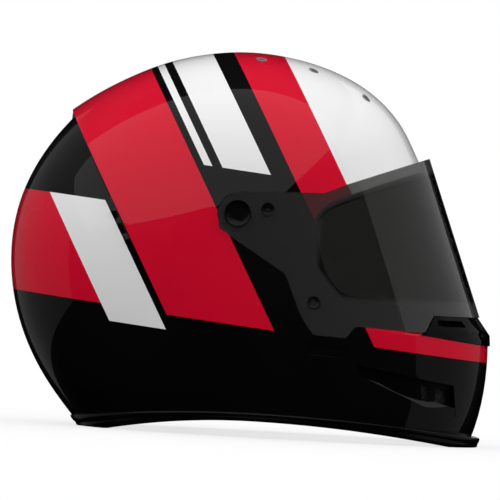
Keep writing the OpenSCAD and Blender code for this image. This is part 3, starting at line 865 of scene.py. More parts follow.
# %% [markdown]
# The chin strap is nylon webbing. A long strap on the wearer's right crosses under the chin, and a
# short one on the left carries two rings. A band is a grid laid along a smooth run, with its wall
# and rounded edges added by modifiers, and with a UV map in metres so that the weave keeps its
# scale along every curve.

# %% The webbing
STRAP_X, STRAP_W, STRAP_T = -9 * mm, 22 * mm, 2.4 * mm
LONG_RUN = [(-113.8, -68), (-113.4, -84), (-110, -99), (-100, -114), (-78, -127), (-44, -134),
            (-8, -136.5), (24, -135), (44, -129)]
SHORT_RUN = [(113.8, -68), (113.4, -82), (110.5, -94), (103, -103), (93, -108.6), (83, -109.4)]
RING_AT, RING_GAP, RING_WIRE = Vector((84, -113)), 4.6, 1.9
STRAP_CELLS = 10


def smooth_run(points, steps=8):
    """A smooth curve led by the points, from the first to the last."""
    p = [Vector(q) for q in points]
    p = [2 * p[0] - p[1]] + p + [2 * p[-1] - p[-2]]
    return [lead(s / steps, *p[i - 1:i + 3]) / 6 for i in range(1, len(p) - 2)
            for s in range(steps)] + [p[-2]]


def band(run):
    """A strip of webbing along a run in the front view, in mm."""
    deselect()
    bpy.ops.mesh.primitive_grid_add(x_subdivisions=len(run) - 1, y_subdivisions=STRAP_CELLS,
                                    size=1)
    strip = bpy.context.object
    walked = [0.0]
    for a, b in zip(run, run[1:]):
        walked.append(walked[-1] + (b - a).length)
    where = {}
    for k, v in enumerate(strip.data.vertices):
        j, i = divmod(k, len(run))
        share = j / STRAP_CELLS - 0.5
        v.co = PIVOT + Vector((STRAP_X + share * STRAP_W, run[i].x * mm, run[i].y * mm))
        where[k] = (walked[i] * mm, share * STRAP_W)
    for corner in strip.data.loops:
        strip.data.uv_layers[0].data[corner.index].uv = where[corner.vertex_index]
    modify(strip, "SOLIDIFY", thickness=STRAP_T, offset=0)
    modify(strip, "BEVEL", width=0.6 * mm, segments=3, limit_method="ANGLE",
           angle_limit=math.radians(50))
    return strip


long_strap = band(smooth_run(LONG_RUN))
finish(long_strap, "long_strap", replaced=["strap_right"], sharp=50)

eye_r = RING_WIRE + 0.3 + STRAP_T / mm / 2
eye = [middle + eye_r * Vector((math.cos(a), math.sin(a)))
       for middle, start in ((RING_AT, -90), (RING_AT - Vector((RING_GAP, 0)), 90))
       for a in np.radians(range(start, start + 181, 15))]
short_strap = joined(band(smooth_run(SHORT_RUN)), band(eye + eye[:1]))
finish(short_strap, "short_strap", replaced=["strap_left"], sharp=50)

# %% [markdown]
# Thread shows where a strap is sewn: in four rows along the short strap, where it closes its loop
# round the rings, and in four along the long one before its tab. Each stitch is one small rounded
# bar, copied along its row.

# %% Stitches
ROWS = [-8, -4, 4, 8]
# Half of a stitch's width, height and length, in mm
STITCH = (0.35, 0.28, 1.3)


def stitches(run, side):
    """Bars of thread on one face of a band, at every other step of the run."""
    made = []
    for x in ROWS:
        for place, after in zip(run[::2], run[1::2]):
            deselect()
            ahead = (after - place).normalized()
            normal = Vector((-ahead.y, ahead.x)) * side
            at = place + normal * (STRAP_T / mm / 2)
            bpy.ops.mesh.primitive_uv_sphere_add(segments=8, ring_count=6, radius=1)
            for v in bpy.context.object.data.vertices:
                across, out, along = (c * half for c, half in zip(v.co, STITCH))
                v.co = PIVOT + Vector((STRAP_X + (x + across) * mm,
                                       (at.x + ahead.x * along + normal.x * out) * mm,
                                       (at.y + ahead.y * along + normal.y * out) * mm))
            made.append(bpy.context.object)
    return joined(*made)


thread = joined(stitches(smooth_run(SHORT_RUN)[-26:-4], -1),
                stitches(smooth_run(LONG_RUN)[-14:-4], 1))
settle(thread)
finish(thread, "strap_thread", sharp=80)

# %% [markdown]
# A red tab is folded over the free end of the long strap, so that it can be found and pulled with
# gloves on. It is a block with rounded edges and three grip ribs, raised by insetting and extruding
# its broad faces.

# %% The end tab
TAB_L, TAB_T, TAB_GAP, RIB = 14 * mm, 4.8 * mm, 0.3 * mm, 0.4 * mm
RIB_SIDES = (-0.3, -0.2, -0.05, 0.05, 0.2, 0.3)
tip = LONG_RUN[-1]
tab_y = tip[0] * mm + TAB_GAP + TAB_L / 2


def is_rib(face):
    """Whether a face is one that is raised as a rib, on the tab's upper or lower side."""
    place = abs(face.calc_center_median().y - tab_y) / TAB_L
    return abs(face.normal.z) > 0.9 and (place < 0.04 or 0.2 < place < 0.3)


deselect()
bpy.ops.mesh.primitive_cube_add(size=1, location=PIVOT + Vector((STRAP_X, tab_y, tip[1] * mm)),
                                scale=(STRAP_W, TAB_L, TAB_T - 2 * RIB))
tab = bpy.context.object
bpy.ops.object.transform_apply()
edit(tab)
for share in RIB_SIDES:
    slice_at((0, tab_y + TAB_L * share, 0), (0, 1, 0))
bpy.ops.mesh.select_all(action="DESELECT")
choose(tab, "faces", is_rib)
bpy.ops.mesh.inset(thickness=0.3 * mm, use_individual=True)
bpy.ops.mesh.extrude_faces_move(TRANSFORM_OT_shrink_fatten={"value": RIB})
deselect()
modify(tab, "BEVEL", width=0.5 * mm, segments=3, limit_method="ANGLE")
settle(tab)
finish(tab, "end_tab", replaced=["strap_end_tab"], sharp=40)

# %% [markdown]
# The lining is cushions of knitted mesh over foam. Each starts as its cut shape, a layer of the
# form trimmed to an outline. It is remeshed into small even cells, blown up a little by the cloth
# simulation while its seams are held, and kept from leaving the room it has under the foam. The
# seams and the smoothing come after that.

# %% Cushions
PAD_VOXEL, PRESSURE, FRAMES = 3.5 * mm, 4.0, 15
SEAM_W, SEAM_DEEP, HELD_W = 2.2 * mm, 1.4 * mm, 2.5 * mm
ROOM_GAP, PAD_RISE, NECK_RISE = 0.4 * mm, 4 * mm, 2.5 * mm


def blow_up(pad, seams):
    """Puts the pad under pressure in a cloth simulation, held where seams(p) is true."""
    held = pad.vertex_groups.new(name="held")
    held.add([v.index for v in pad.data.vertices if seams(v.co - PIVOT)], 1.0, "REPLACE")
    cloth = pad.modifiers.new("cloth", "CLOTH")
    cloth.settings.use_pressure = True
    cloth.settings.uniform_pressure_force = PRESSURE
    cloth.settings.vertex_group_mass = "held"
    cloth.settings.effector_weights.gravity = 0
    cloth.settings.quality = 4
    for number in range(1, FRAMES + 1):
        bpy.context.scene.frame_set(number)
    apply(pad, cloth)
    bpy.context.scene.frame_set(1)


def puff(pad, seams, most, room):
    """Fills a cut shape out as a cushion: most is how far a point may move, and room is the depth
    of the form that it stays within."""
    settle(pad)
    modify(pad, "REMESH", mode="VOXEL", voxel_size=PAD_VOXEL)
    modify(pad, "SMOOTH", factor=0.5, iterations=4)
    start = [v.co.copy() for v in pad.data.vertices]
    blow_up(pad, seams)
    for v, was in zip(pad.data.vertices, start):
        move = v.co - was
        if move.length > most:
            v.co = was + move.normalized() * most
        p = v.co - PIVOT
        ratio = outside(p, -room)
        if ratio > 1:
            v.co = PIVOT + p / ratio ** (1 / SQUARENESS)
    modify(pad, "SUBSURF", levels=1, render_levels=1)


def sew(pad, distance):
    """Draws a seam in: distance(p) is how far a point is from it."""
    normals = [v.normal.copy() for v in pad.data.vertices]
    for v, normal in zip(pad.data.vertices, normals):
        d = distance(v.co - PIVOT) / SEAM_W
        if d < 3:
            v.co -= normal * SEAM_DEEP * math.exp(-d * d)


# %% [markdown]
# The crown liner is one dome with channels from brow to nape, where it is sewn through to hold its
# shape.

# %% The crown liner's cushion
CHANNELS = [-54 * mm, -18 * mm, 18 * mm, 54 * mm]
CROWN_INSET = 5


def to_channel(p):
    """Distance from the nearest channel, over the crown."""
    return min(abs(p.y - y) for y in CHANNELS) if p.z > -20 * mm else 1.0


crown_pad = cut_layer(SHELL_WALL + FOAM_T + SOFT_GAP, SHELL_WALL + FOAM_T + PAD_T, CROWN,
                      FOAM_ROUND, -CROWN_INSET, cells=PAD_CELLS)
puff(crown_pad, lambda p: to_channel(p) < HELD_W, PAD_RISE, SHELL_WALL + FOAM_T + ROOM_GAP)
sew(crown_pad, to_channel)
finish(crown_pad, "crown_cushion", replaced=["crown_pad"], sharp=80)

# %% [markdown]
# A cheek pad is deep and firm, crowned toward the face and drawn in at its edges. Two channels run
# down it, and its front is cut back clear of the gill and of the visor's hollow.

# %% The cheek pads
CHEEK = [(14, -24), (46, -22), (58, -50), (76, -63), (113, -66), (110, -136), (60, -136),
         (14, -134)]
CHEEK_ROUND, CHEEK_DEEP, CHEEK_EDGE = 10, 48 * mm, 26 * mm
GILL_ROOM, GILL_ROOM_DEEP = 4, 6.8 * mm
CHEEK_LEAN = math.radians(25)
CHEEK_CHANNELS = [59.5 * mm, 93.5 * mm]
CHEEK_MIDDLE = Vector((60 * mm, HALF_W - 14 * mm, -84 * mm))
CHEEK_HALF = (64 * mm, CHEEK_DEEP - 8 * mm, 68 * mm)


def cheek_shape():
    pad = cut_layer(SHELL_WALL + SOFT_GAP, SHELL_WALL + CHEEK_DEEP, CHEEK, CHEEK_ROUND,
                    y=(0, 0.3), cells=PAD_CELLS)
    deselect()
    bpy.ops.mesh.primitive_uv_sphere_add(segments=64, ring_count=32, radius=1, scale=CHEEK_HALF,
                                         location=PIVOT + CHEEK_MIDDLE)
    crown = bpy.context.object
    settle(crown)
    boolean(pad, crown, "INTERSECT")
    boolean(pad, visor_hollow(SHELL_WALL + SOFT_GAP))
    room = prism(GILL, GILL_ROUND, GILL_ROOM)
    boolean(room, form_ball(-GILL_ROOM_DEEP))
    boolean(pad, room)
    return pad


def to_cheek_channel(p):
    """Distance from the nearest channel, on the side toward the face."""
    ahead = p.x * math.cos(CHEEK_LEAN) - p.z * math.sin(CHEEK_LEAN)
    return min(abs(ahead - x) for x in CHEEK_CHANNELS) if abs(p.y) < HALF_W - CHEEK_DEEP else 1.0


def cheek_held(p):
    """Whether a point is held while the cushion fills: at its channels and at its edges."""
    return to_cheek_channel(p) < HELD_W or abs(p.y) > HALF_W - CHEEK_EDGE


cheek_left = cheek_shape()
puff(cheek_left, cheek_held, PAD_RISE, SHELL_WALL + ROOM_GAP)
sew(cheek_left, to_cheek_channel)
cheek_right = mirror_twin(cheek_left)
for pad, side in ((cheek_left, "left"), (cheek_right, "right")):
    finish(pad, "cheek_cushion_" + side, replaced=["cheek_pad_" + side], sharp=80)

# %% [markdown]
# The neck roll closes the helmet at the nape. It is a firm roll of smooth fabric, with no channels.

# %% The neck roll
NECK = [(-150, -142), (-100, -144), (-52, -139), (-46, -128), (-56, -113), (-150, -123)]
NECK_ROUND, NECK_DEEP = 5, 27 * mm

neck_roll = cut_layer(SHELL_WALL + SOFT_GAP, NECK_DEEP, NECK, NECK_ROUND, cells=PAD_CELLS)
puff(neck_roll, lambda p: False, NECK_RISE, SHELL_WALL + ROOM_GAP)
finish(neck_roll, "neck_cushion", replaced=["neck_roll"], sharp=80)

# %% [markdown]
# A finish is a small network of nodes, and a few short calls build it: one adds a node, one links
# two sockets, and the rest are the sums that come back in every finish. Colours are written as they
# are read off a screen.

# %% Node helpers
def srgb(r, g, b):
    """A colour as seen on a screen, 0 to 255, as the linear light that a shader wants."""
    return [((c / 255 + 0.055) / 1.055) ** 2.4 if c > 10 else c / 255 / 12.92
            for c in (r, g, b)] + [1]


def grey(level, blue=0):
    """A grey of that level, a little bluer by the levels of blue."""
    return srgb(level, level, level + blue)


class Nodes:
    """A node tree with short calls: add makes a node and feeds it, link joins two sockets."""

    def __init__(self, tree):
        self.tree = tree

    def add(self, kind, inputs=(), **settings):
        """Inputs says what feeds a socket: a plain value, or the output of another node."""
        node = self.tree.nodes.new("ShaderNode" + kind)
        for name, value in settings.items():
            setattr(node, name, value)
        for name, value in dict(inputs).items():
            if isinstance(value, bpy.types.NodeSocket):
                self.link(value, node.inputs[name])
            else:
                node.inputs[name].default_value = value
        return node

    def link(self, out, into):
        self.tree.links.new(out, into)

    def math(self, operation, *numbers):
        return self.add("Math", enumerate(numbers), operation=operation).outputs[0]

    def mix(self, share, a, b):
        return self.add("Mix", {0: share, 6: a, 7: b}, data_type="RGBA").outputs[2]

    def spread(self, *numbers):
        """A value stretched from one range to another: value, low, high, new low, new high."""
        return self.add("MapRange", enumerate(numbers)).outputs[0]

    def where(self, kind="Object"):
        return self.add("TexCoord").outputs[kind]

    def parts(self, vector):
        """The X, Y and Z of a vector."""
        return self.add("SeparateXYZ", {0: vector}).outputs

    def vector(self, operation, a, b):
        return self.add("VectorMath", {0: a, 1: b}, operation=operation).outputs

    def dot(self, a, b):
        return self.vector("DOT_PRODUCT", a, b)["Value"]

    def rays(self, kind, other=None):
        """1 for the rays of one kind or of either of two."""
        path = self.add("LightPath").outputs
        one = path["Is " + kind + " Ray"]
        return self.math("MAXIMUM", one, path["Is " + other + " Ray"]) if other else one

    def noise(self, scale, detail):
        inputs = {"Vector": self.where(), "Scale": scale, "Detail": detail}
        return self.add("TexNoise", inputs).outputs["Fac"]

    def cells(self, scale, randomness, feature):
        """Distances in a pattern of cells: from a cell's middle (F1), or from its edge."""
        inputs = {"Vector": self.where(), "Scale": scale, "Randomness": randomness}
        return self.add("TexVoronoi", inputs, feature=feature).outputs["Distance"]


def group(name, inputs, outputs):
    tree = bpy.data.node_groups.new(name, "ShaderNodeTree")
    number = "NodeSocketFloat"
    for label, value in inputs.items():
        knob = tree.interface.new_socket(label, in_out="INPUT", socket_type=number)
        knob.default_value = value
    for label in outputs:
        tree.interface.new_socket(label, in_out="OUTPUT", socket_type=number)
    nodes = Nodes(tree)
    return tree, nodes, tree.nodes.new("NodeGroupInput"), tree.nodes.new("NodeGroupOutput")


# %% [markdown]
# What several finishes share is built once, as a group with its own knob: the fine grain of moulded
# plastic and rubber, the broad haze that handling leaves on any surface, the knit of the lining,
# and the weave of the webbing. The groups put out heights and masks only. Each material then
# decides what to do with them.

# %% Shared effects
# Grain: pits per metre, as a height and as a mask
GRAIN, nodes, knobs, results = group("moulded_grain", {"Grains per metre": 2500},
                                     ["Height", "Mask"])
fine = nodes.noise(knobs.outputs[0], 3)
nodes.link(fine, results.inputs["Height"])
nodes.link(nodes.spread(fine, 0.35, 0.65), results.inputs["Mask"])

# Haze: the broad patches of duller surface that handling leaves
HAZE, nodes, knobs, results = group("handling_haze", {"Patches per metre": 18}, ["Mask"])
nodes.link(nodes.spread(nodes.noise(knobs.outputs[0], 5), 0.42, 0.72), results.inputs["Mask"])

# Knit: rows of small round meshes in a lining
KNIT, nodes, knobs, results = group("knitted_mesh", {"Meshes per metre": 420}, ["Height", "Hole"])
mesh = nodes.cells(knobs.outputs[0], 0.35, "F1")
nodes.link(mesh, results.inputs["Height"])
nodes.link(nodes.spread(mesh, 0.12, 0.30, 1, 0), results.inputs["Hole"])

# Weave: warp and weft of a band, along its own UV map in metres, with painted light on its crowns
WEAVE, nodes, knobs, results = group("band_weave", {"Threads per metre": 900}, ["Height", "Shade"])
across, along, _ = nodes.parts(nodes.where("UV"))
threads = nodes.math("MULTIPLY", knobs.outputs[0], 2 * math.pi)
slant = nodes.math("ADD", across, nodes.math("MULTIPLY", along, 0.5))
warp, weft = (nodes.math("ABSOLUTE", nodes.math("SINE", nodes.math("MULTIPLY", run, threads)))
              for run in (along, slant))
height = nodes.math("MULTIPLY", nodes.math("ADD", warp, 0.4), nodes.math("ADD", weft, 0.6))
nodes.link(height, results.inputs["Height"])
# Shade is painted light: lighter where the threads' crowns would catch the light, darker in the gaps
nodes.link(nodes.spread(height, 0.3, 1.6), results.inputs["Shade"])

# %% [markdown]
# A new material starts from one helper: a Principled shader with its plain numbers set on its own
# sockets, and calls that place a shared group, grain or haze the surface, or add a fine bump.

# %% The material helper
class Finish(Nodes):
    def __init__(self, name, **numbers):
        self.material = bpy.data.materials.new(name)
        self.material.use_nodes = True
        super().__init__(self.material.node_tree)
        self.shader = self.material.node_tree.nodes["Principled BSDF"]
        for socket, value in numbers.items():
            self.shader.inputs[socket.replace("_", " ")].default_value = value

    def placed(self, tree, value):
        return self.add("Group", {0: value}, node_tree=tree).outputs

    def colour(self, out):
        self.link(out, self.shader.inputs["Base Color"])

    def roughness(self, out):
        self.link(out, self.shader.inputs["Roughness"])

    def bump(self, height, depth, strength):
        node = self.add("Bump", {"Height": height, "Distance": depth, "Strength": strength})
        self.link(node.outputs[0], self.shader.inputs["Normal"])

    def grained(self, grains, rough, rougher, depth, strength=0.6):
        """Puts the shared grain in the roughness and in a bump, and gives its mask back."""
        grain = self.placed(GRAIN, grains)
        self.roughness(self.spread(grain["Mask"], 0, 1, rough, rougher))
        self.bump(grain["Height"], depth, strength)
        return grain["Mask"]

    def hazed(self, patches, clean, dulled):
        """Colours the surface from clean to dulled, in the patches of the shared haze."""
        self.colour(self.mix(self.placed(HAZE, patches)["Mask"], clean, dulled))

    def stand_in(self, share, other):
        """Lets another shader stand in for a share of this one."""
        inputs = (share, self.shader.outputs[0], other.outputs[0])
        either = self.add("MixShader", enumerate(inputs))
        self.link(either.outputs[0], self.tree.nodes["Material Output"].inputs["Surface"])

    def wear(self, *pieces):
        """Puts this finish on pieces of the scene and on CAD nodes, which are given by name."""
        for piece in pieces:
            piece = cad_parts[piece] if isinstance(piece, str) else piece
            piece.data.materials.clear()
            piece.data.materials.append(self.material)
        print(self.material.name, "on", len(pieces), "of the pieces")


# %% [markdown]
# The shell is sprayed gloss black, then banded in red and white under a clear coat. Each band is a
# bar between two slanted lines and two nearly level ones, measured in the side view, so a pair of
# dot products gives where a point lies and a Compare node asks whether it is inside the bar. The
# paint is flat in colour, so its life comes from the clear coat: a touch of orange peel in the
# bump, and a haze that dulls it in broad patches.

# %% Painted shell
SLANT = Vector((0.880, 0, 0.476))
LEVEL = Vector((0.0932, 0, 0.9956))
RED = srgb(215, 8, 44)
WHITE = grey(243)
BLACK = grey(6, 1)
# Colour, from and to along SLANT, from and to along LEVEL, in mm
BARS = [
    (WHITE, 78.2, 260, -12, 200),
    (RED, 46.5, 78.2, -12, 200),
    (WHITE, 4, 32.6, 30, 200),
    (WHITE, -7, -2, 30, 200),
    (RED, -75.7, -12, -78, 200),
    (RED, -260, -114.3, -77, -4.7),
    (WHITE, -114.3, -80.6, -88.5, -4.7),
    (RED, 47, 260, -79, -65.5),
]

paint = Finish("shell_paint", Roughness=0.3, Coat_Weight=1.0, Coat_Roughness=0.015,
               Specular_IOR_Level=0.05)
from_pivot = paint.vector("SUBTRACT", paint.where(), PIVOT)[0]
distance = [paint.dot(from_pivot, direction) for direction in (SLANT, LEVEL)]
colour = BLACK
for bar, *limits in BARS:
    masks = [paint.math("COMPARE", value, (low + high) / 2 * mm, (high - low) / 2 * mm)
             for value, low, high in zip(distance, limits[::2], limits[1::2])]
    colour = paint.mix(paint.math("MULTIPLY", *masks), colour, bar)
haze = paint.placed(HAZE, 14)["Mask"]
paint.colour(paint.mix(paint.math("MULTIPLY", haze, 0.006), colour, grey(120)))
paint.roughness(paint.spread(haze, 0, 1, 0.25, 0.36))
paint.bump(paint.noise(260, 1), 0.02 * mm, 0.25)
paint.wear(shell)

# The inside isn't painted: it is the bare laminate, with its fine grain
laminate = Finish("bare_laminate", Specular_IOR_Level=0.3)
laminate.colour(laminate.mix(laminate.grained(900, 0.45, 0.65, 0.1 * mm), grey(12, 1), grey(30, 2)))
shell.data.materials.append(laminate.material)
for face in shell.data.polygons:
    p = face.center - PIVOT
    face.material_index = int(outside(p, -SHELL_WALL * 0.6) < 1 and face.normal.dot(p) < 0)
bare = sum(face.material_index for face in shell.data.polygons)
print(bare, "faces of the shell are bare inside")

# %% [markdown]
# Rubber and moulded plastic are both black, and only their surface tells them apart: the trim is
# satin with a faint sheen, the seal is dull, and the vents have an even moulded grain.

# %% Rubber and moulded plastic
def black_moulding(name, level, rough, grains, depth, **numbers):
    moulding = Finish(name, **numbers)
    moulding.grained(grains, rough, rough + 0.12, depth * mm)
    moulding.hazed(30, grey(level), grey(level + 6))
    return moulding


black_moulding("trim_rubber", 3, 0.16, 1500, 0.02).wear(trim)
black_moulding("seal_rubber", 26, 0.5, 1800, 0.05).wear(seal)

# %% [markdown]
# The visor is dyed, and it has a dark coat too. The coat is the glass's own colour: light loses it
# once on its way through the sheet, and nearly all of it where the eye looks along the sheet, at
# its rims and down its front. The dye is a volume that absorbs light. Shadow rays, and the rays
# that gather soft light, pass as if only the dye were there, so the light still reaches the paint
# behind. Round the window that the wearer looks through, a hazier outer coat makes the arms a
# little paler than the view, as the photograph shows.

# %% Smoke visor
DYE_PASS, DYE = 0.95, (0.02, 0.015, 0.0, 1)
HAZE_COAT = 0.6
GRAZING, DARK = 0.74, [0.001, 0.001, 0.001, 1]
TINTS = [0.103, 0.103, 0.100, 1], [0.097, 0.097, 0.094, 1]
# The window's sides above and below: how much each rises per step ahead, its height at the pivot
# in mm, and which side of it is out of view
WINDOW = ((0.39, -16, 1), (0.747, -40.4, 1), (-1.133, 30.8, -1), (0, -55, -1))
smoke = Finish("smoke_tint", Transmission_Weight=1.0, IOR=1.49, Coat_Roughness=0.6)
haze = smoke.placed(HAZE, 22)["Mask"]
grazing = smoke.spread(smoke.add("LayerWeight").outputs["Facing"], GRAZING, GRAZING + 0.05)
smoke.colour(smoke.mix(grazing, smoke.mix(haze, *TINTS), DARK))
smoke.roughness(smoke.spread(haze, 0, 1, 0.0, 0.02))
side_view = smoke.parts(smoke.where())
ahead, up = (smoke.math("SUBTRACT", side_view[axis], PIVOT[axis]) for axis in (0, 2))
in_view = smoke.spread(ahead, 56 * mm, 60 * mm)
for slope, start, side in WINDOW:
    over = smoke.math("SUBTRACT", up, smoke.math("MULTIPLY_ADD", ahead, slope, start * mm))
    beside = smoke.spread(over, -2 * mm * side, 2 * mm * side, 1, 0)
    in_view = smoke.math("MULTIPLY", in_view, beside)
smoke.link(smoke.spread(in_view, 0, 1, HAZE_COAT, 0.0), smoke.shader.inputs["Coat Weight"])
smoke.stand_in(smoke.rays("Shadow", "Diffuse"), smoke.add("BsdfTransparent"))
density = -math.log(DYE_PASS) / VISOR_WALL
dye = smoke.add("VolumeAbsorption", {"Color": DYE, "Density": density})
smoke.link(dye.outputs[0], smoke.tree.nodes["Material Output"].inputs["Volume"])
smoke.wear(visor)

# %% [markdown]
# The vents, the pivots and the small black parts are mouldings of the same family, each with its
# own depth of black and its own grain. The gill panels are the darkest and dullest: partly their
# own black, partly painted shade for the recess they sit in. The screen behind the slots is dark
# metal, coloured nearly black as painted shade, so that the slots read black.

# %% Vents and pivots
black_moulding("vent_plastic", 5, 0.04, 2200, 0.01).wear(housing)
# Painted shade: the gill panels are coloured darkest and made dull, for the shade in their recess
black_moulding("gill_plastic_painted_shade", 1, 0.4, 2200, 0.04, Specular_IOR_Level=0.15).wear(gills)
black_moulding("pivot_nylon", 30, 0.5, 1600, 0.04).wear(
    "pivot_base_right", "pivot_base_left", "visor_cam_right", "visor_cam_left")
black_moulding("cap_black", 3, 0.08, 3000, 0.005).wear(caps, stud)
black_moulding("post_black", 10, 0.16, 3000, 0.005).wear(post)

# %% [markdown]
# Small metal parts are turned or pressed and then plated. A faint grain in the roughness breaks up
# their shine, and the haze darkens it in patches, so that a plain disc still reads as metal.

# %% Metals
def plated(name, colour, rough, **numbers):
    metal = Finish(name, **{"Metallic": 1.0, **numbers})
    metal.grained(3000, rough, rough + 0.12, 0.01 * mm, 0.5)
    metal.hazed(60, colour, [c * 0.8 for c in colour[:3]] + [1])
    return metal


plated("zinc_plate", grey(176, 4), 0.28).wear("pivot_nuts", "strap_anchors", "strap_rivets")
plated("black_oxide", grey(30, 2), 0.3).wear("pivot_screws", "detent_plungers")
plated("ring_chrome", grey(222, 4), 0.10).wear("strap_ring_outer", "strap_ring_inner")
plated("vent_ring_nickel", srgb(168, 162, 165), 0.3, Metallic=0.5).wear(rings)
# Painted shade: the screen is coloured nearly black and barely shiny, for the shade behind the slots
plated("vent_screen_painted_shade", grey(10, 1), 0.5, Metallic=0.2, Specular_IOR_Level=0.1).wear("chin_vent_mesh")

# %% [markdown]
# The foam is black and made of fused beads, a few millimetres across: a cell pattern gives each
# bead its bulge and a dark line where it meets the next.

# %% Bead foam
foam = Finish("bead_foam", Roughness=0.85, Specular_IOR_Level=0.3)
beads = foam.cells(300, 1.0, "DISTANCE_TO_EDGE")
foam.colour(foam.mix(foam.spread(beads, 0.0, 0.12), grey(18, 2), grey(44, 3)))
foam.bump(foam.spread(beads, 0.0, 0.4), 0.4 * mm, 0.8)
foam.wear(crown_foam, chin_foam)

# %% [markdown]
# The lining's fabric is a knit with small round meshes, soft and slightly shiny at a glancing
# angle. The neck roll has the same knit, finer and smoother. Beside each seam runs a row of
# stitches: dashes that repeat along the helmet, kept to two thin lines beside the channel.

# %% Lining fabrics
STITCH_STEP, STITCH_L, STITCH_OFF, STITCH_W = 2.2 * mm, 1.5 * mm, 2.6 * mm, 0.35 * mm


def knit(name, level, meshes, depth, stitched=()):
    cloth = Finish(name, Roughness=0.9, Sheen_Weight=0.35, Sheen_Roughness=0.4,
                   Specular_IOR_Level=0.2)
    mesh = cloth.placed(KNIT, meshes)
    yarn = cloth.mix(cloth.placed(HAZE, 25)["Mask"], grey(level, 2), grey(level + 10, 3))
    shade = cloth.mix(cloth.math("MULTIPLY", mesh["Hole"], 0.75), yarn, grey(8, 1))
    height = mesh["Height"]
    if stitched:
        x, y, _ = cloth.parts(cloth.where())
        dash = cloth.math("LESS_THAN", cloth.math("PINGPONG", x, STITCH_STEP), STITCH_L)
        rows = 0.0
        for channel in stitched:
            for beside in (-STITCH_OFF, STITCH_OFF):
                row = cloth.math("COMPARE", y, channel + beside, STITCH_W)
                rows = cloth.math("MAXIMUM", row, rows)
        thread = cloth.math("MULTIPLY", rows, dash)
        shade = cloth.mix(thread, shade, grey(74, 4))
        height = cloth.math("ADD", height, cloth.math("MULTIPLY", thread, 0.8))
    cloth.colour(shade)
    cloth.bump(height, depth * mm, 0.9)
    return cloth


knit("crown_knit", 34, 420, 0.35, CHANNELS).wear(crown_pad)
knit("cheek_knit", 34, 420, 0.35).wear(cheek_left, cheek_right)
knit("neck_knit", 26, 700, 0.2).wear(neck_roll)

# %% [markdown]
# The webbing's weave follows its UV map. Its threads lie at a slant to each other, and their crowns
# are painted lighter than the gaps, as painted light. The thread of the stitches is a little paler,
# and the tab is moulded in red.

# %% Webbing, thread and tab
webbing = Finish("black_webbing", Roughness=0.7, Sheen_Weight=0.2)
weave = webbing.placed(WEAVE, 650)
# Painted light: the weave's crowns are coloured lighter than its gaps
webbing.colour(webbing.mix(weave["Shade"], grey(8, 1), grey(38, 3)))
webbing.bump(weave["Height"], 0.25 * mm, 0.8)
webbing.wear(long_strap, short_strap)

sewing = Finish("sewing_thread", Roughness=0.6)
sewing.colour(sewing.mix(sewing.placed(GRAIN, 4000)["Mask"], grey(60, 4), grey(90, 5)))
sewing.wear(thread)

red_tab = Finish("red_tab", Roughness=0.4)
red_tab.hazed(60, srgb(196, 14, 34), srgb(170, 12, 30))
red_tab.bump(red_tab.placed(GRAIN, 2500)["Height"], 0.04 * mm, 0.6)
red_tab.wear(tab)

# %% [markdown]
# Gloss paint shows its studio, so the studio is drawn as three pale cards in a dark room: a wide
# one overhead, on the camera's side, and one to the front and one to the rear. A card is a window
# in the world's colour: a ray's direction is laid on a plane that faces the helmet, and the
# window's sides are plain comparisons there. Only shiny reflections see the cards. Soft light comes
# evenly from all round, a little stronger from above. The rays of the camera, and those that pass
# the visor, see the white backdrop at a strength of one, and so do reflections that look straight
# at it.

# %% The studio
world = bpy.data.worlds.new("studio")
world.use_nodes = True
bpy.context.scene.world = world
room = Nodes(world.node_tree)
toward = room.where("Generated")


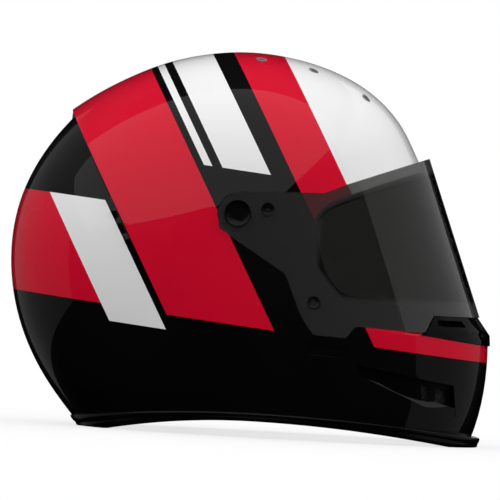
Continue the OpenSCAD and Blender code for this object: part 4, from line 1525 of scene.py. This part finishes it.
def card(azimuth, height, wide, tall, fade, lean=0.0, droop=0.0):
    """A card round the helmet. The azimuth is from the camera toward the nose and the height from
    the horizon, in degrees. Its sides are given as tangents; lean slants its far end, and droop
    lowers its top there. The fade gives two heights on the card, and how bright it is below the
    one and above the other."""
    az, up = math.radians(azimuth), math.radians(height)
    facing = Vector((math.sin(az) * math.cos(up), -math.cos(az) * math.cos(up), math.sin(up)))
    across = Vector((0, 0, 1)).cross(facing).normalized()
    ahead = room.dot(toward, facing)
    u, v = (room.math("DIVIDE", room.dot(toward, side), ahead)
            for side in (across, facing.cross(across)))
    end = room.math("SUBTRACT", u, room.math("MULTIPLY", v, lean))
    bend = room.math("POWER", room.math("MAXIMUM", u, 0), 2)
    top = room.math("ADD", v, room.math("MULTIPLY", bend, droop))
    mask = room.math("GREATER_THAN", ahead, 0.05)
    for value, test, limit in ((u, "GREATER_THAN", wide[0]), (end, "LESS_THAN", wide[1]),
                               (v, "GREATER_THAN", tall[0]), (top, "LESS_THAN", tall[1])):
        mask = room.math("MULTIPLY", mask, room.math(test, value, limit))
    return room.math("MULTIPLY", mask, room.spread(v, *fade))


# The backdrop, where a reflection looks straight at it, then the overhead, front and rear cards
glossy = room.spread(room.dot(toward, (0, 1, 0)), 0.990, 0.998)
for placed in (card(0, 52, (-3, 0.79), (-1.1, 1.07), (-1, 1, 0.46, 0.48), 0.395, 0.66),
               card(105, 0, (-0.93, 0.7), (-0.9, 1.2), (0, 0.25, 0.11, 0.42), 1.0),
               card(-114, 0, (-0.81, 0.81), (-0.5, 0.8), (-0.5, 0.8, 0.11, 0.13))):
    glossy = room.math("MAXIMUM", glossy, placed)
soft = room.spread(room.dot(toward, (0, 0, 1)), 0, 1, 0.82, 1.45)
level = room.mix(room.rays("Glossy"), soft, glossy)
light = room.mix(room.rays("Camera", "Transmission"), level, [1, 1, 1, 1])
room.link(light, world.node_tree.nodes["Background"].inputs["Color"])

# %% [markdown]
# The floor is a plain pale plane. To the camera it mostly glows, so that it meets the backdrop
# without a line, and the share that doesn't glow keeps the helmet's soft shadow. It throws less
# light back than it seems to, so that the underside stays dark.

# %% The floor
FLOOR_SIZE, GLOW_SHARE = 12, 0.75
DULL, PALE = [0.24, 0.24, 0.24, 1], [0.8, 0.8, 0.8, 1]
deselect()
bpy.ops.mesh.primitive_plane_add(size=FLOOR_SIZE)
floor = bpy.context.object
floor.name = "studio_floor"
ground = Finish("pale_floor", Roughness=0.9, Specular_IOR_Level=0.0)
glow = ground.add("Emission", {"Strength": 1.0})
seen = ground.rays("Camera", "Transmission")
ground.colour(ground.mix(seen, DULL, PALE))
ground.stand_in(ground.math("MULTIPLY", seen, GLOW_SHARE), glow)
ground.wear(floor)
floor.visible_glossy = False
bpy.context.scene.view_settings.view_transform = "Standard"
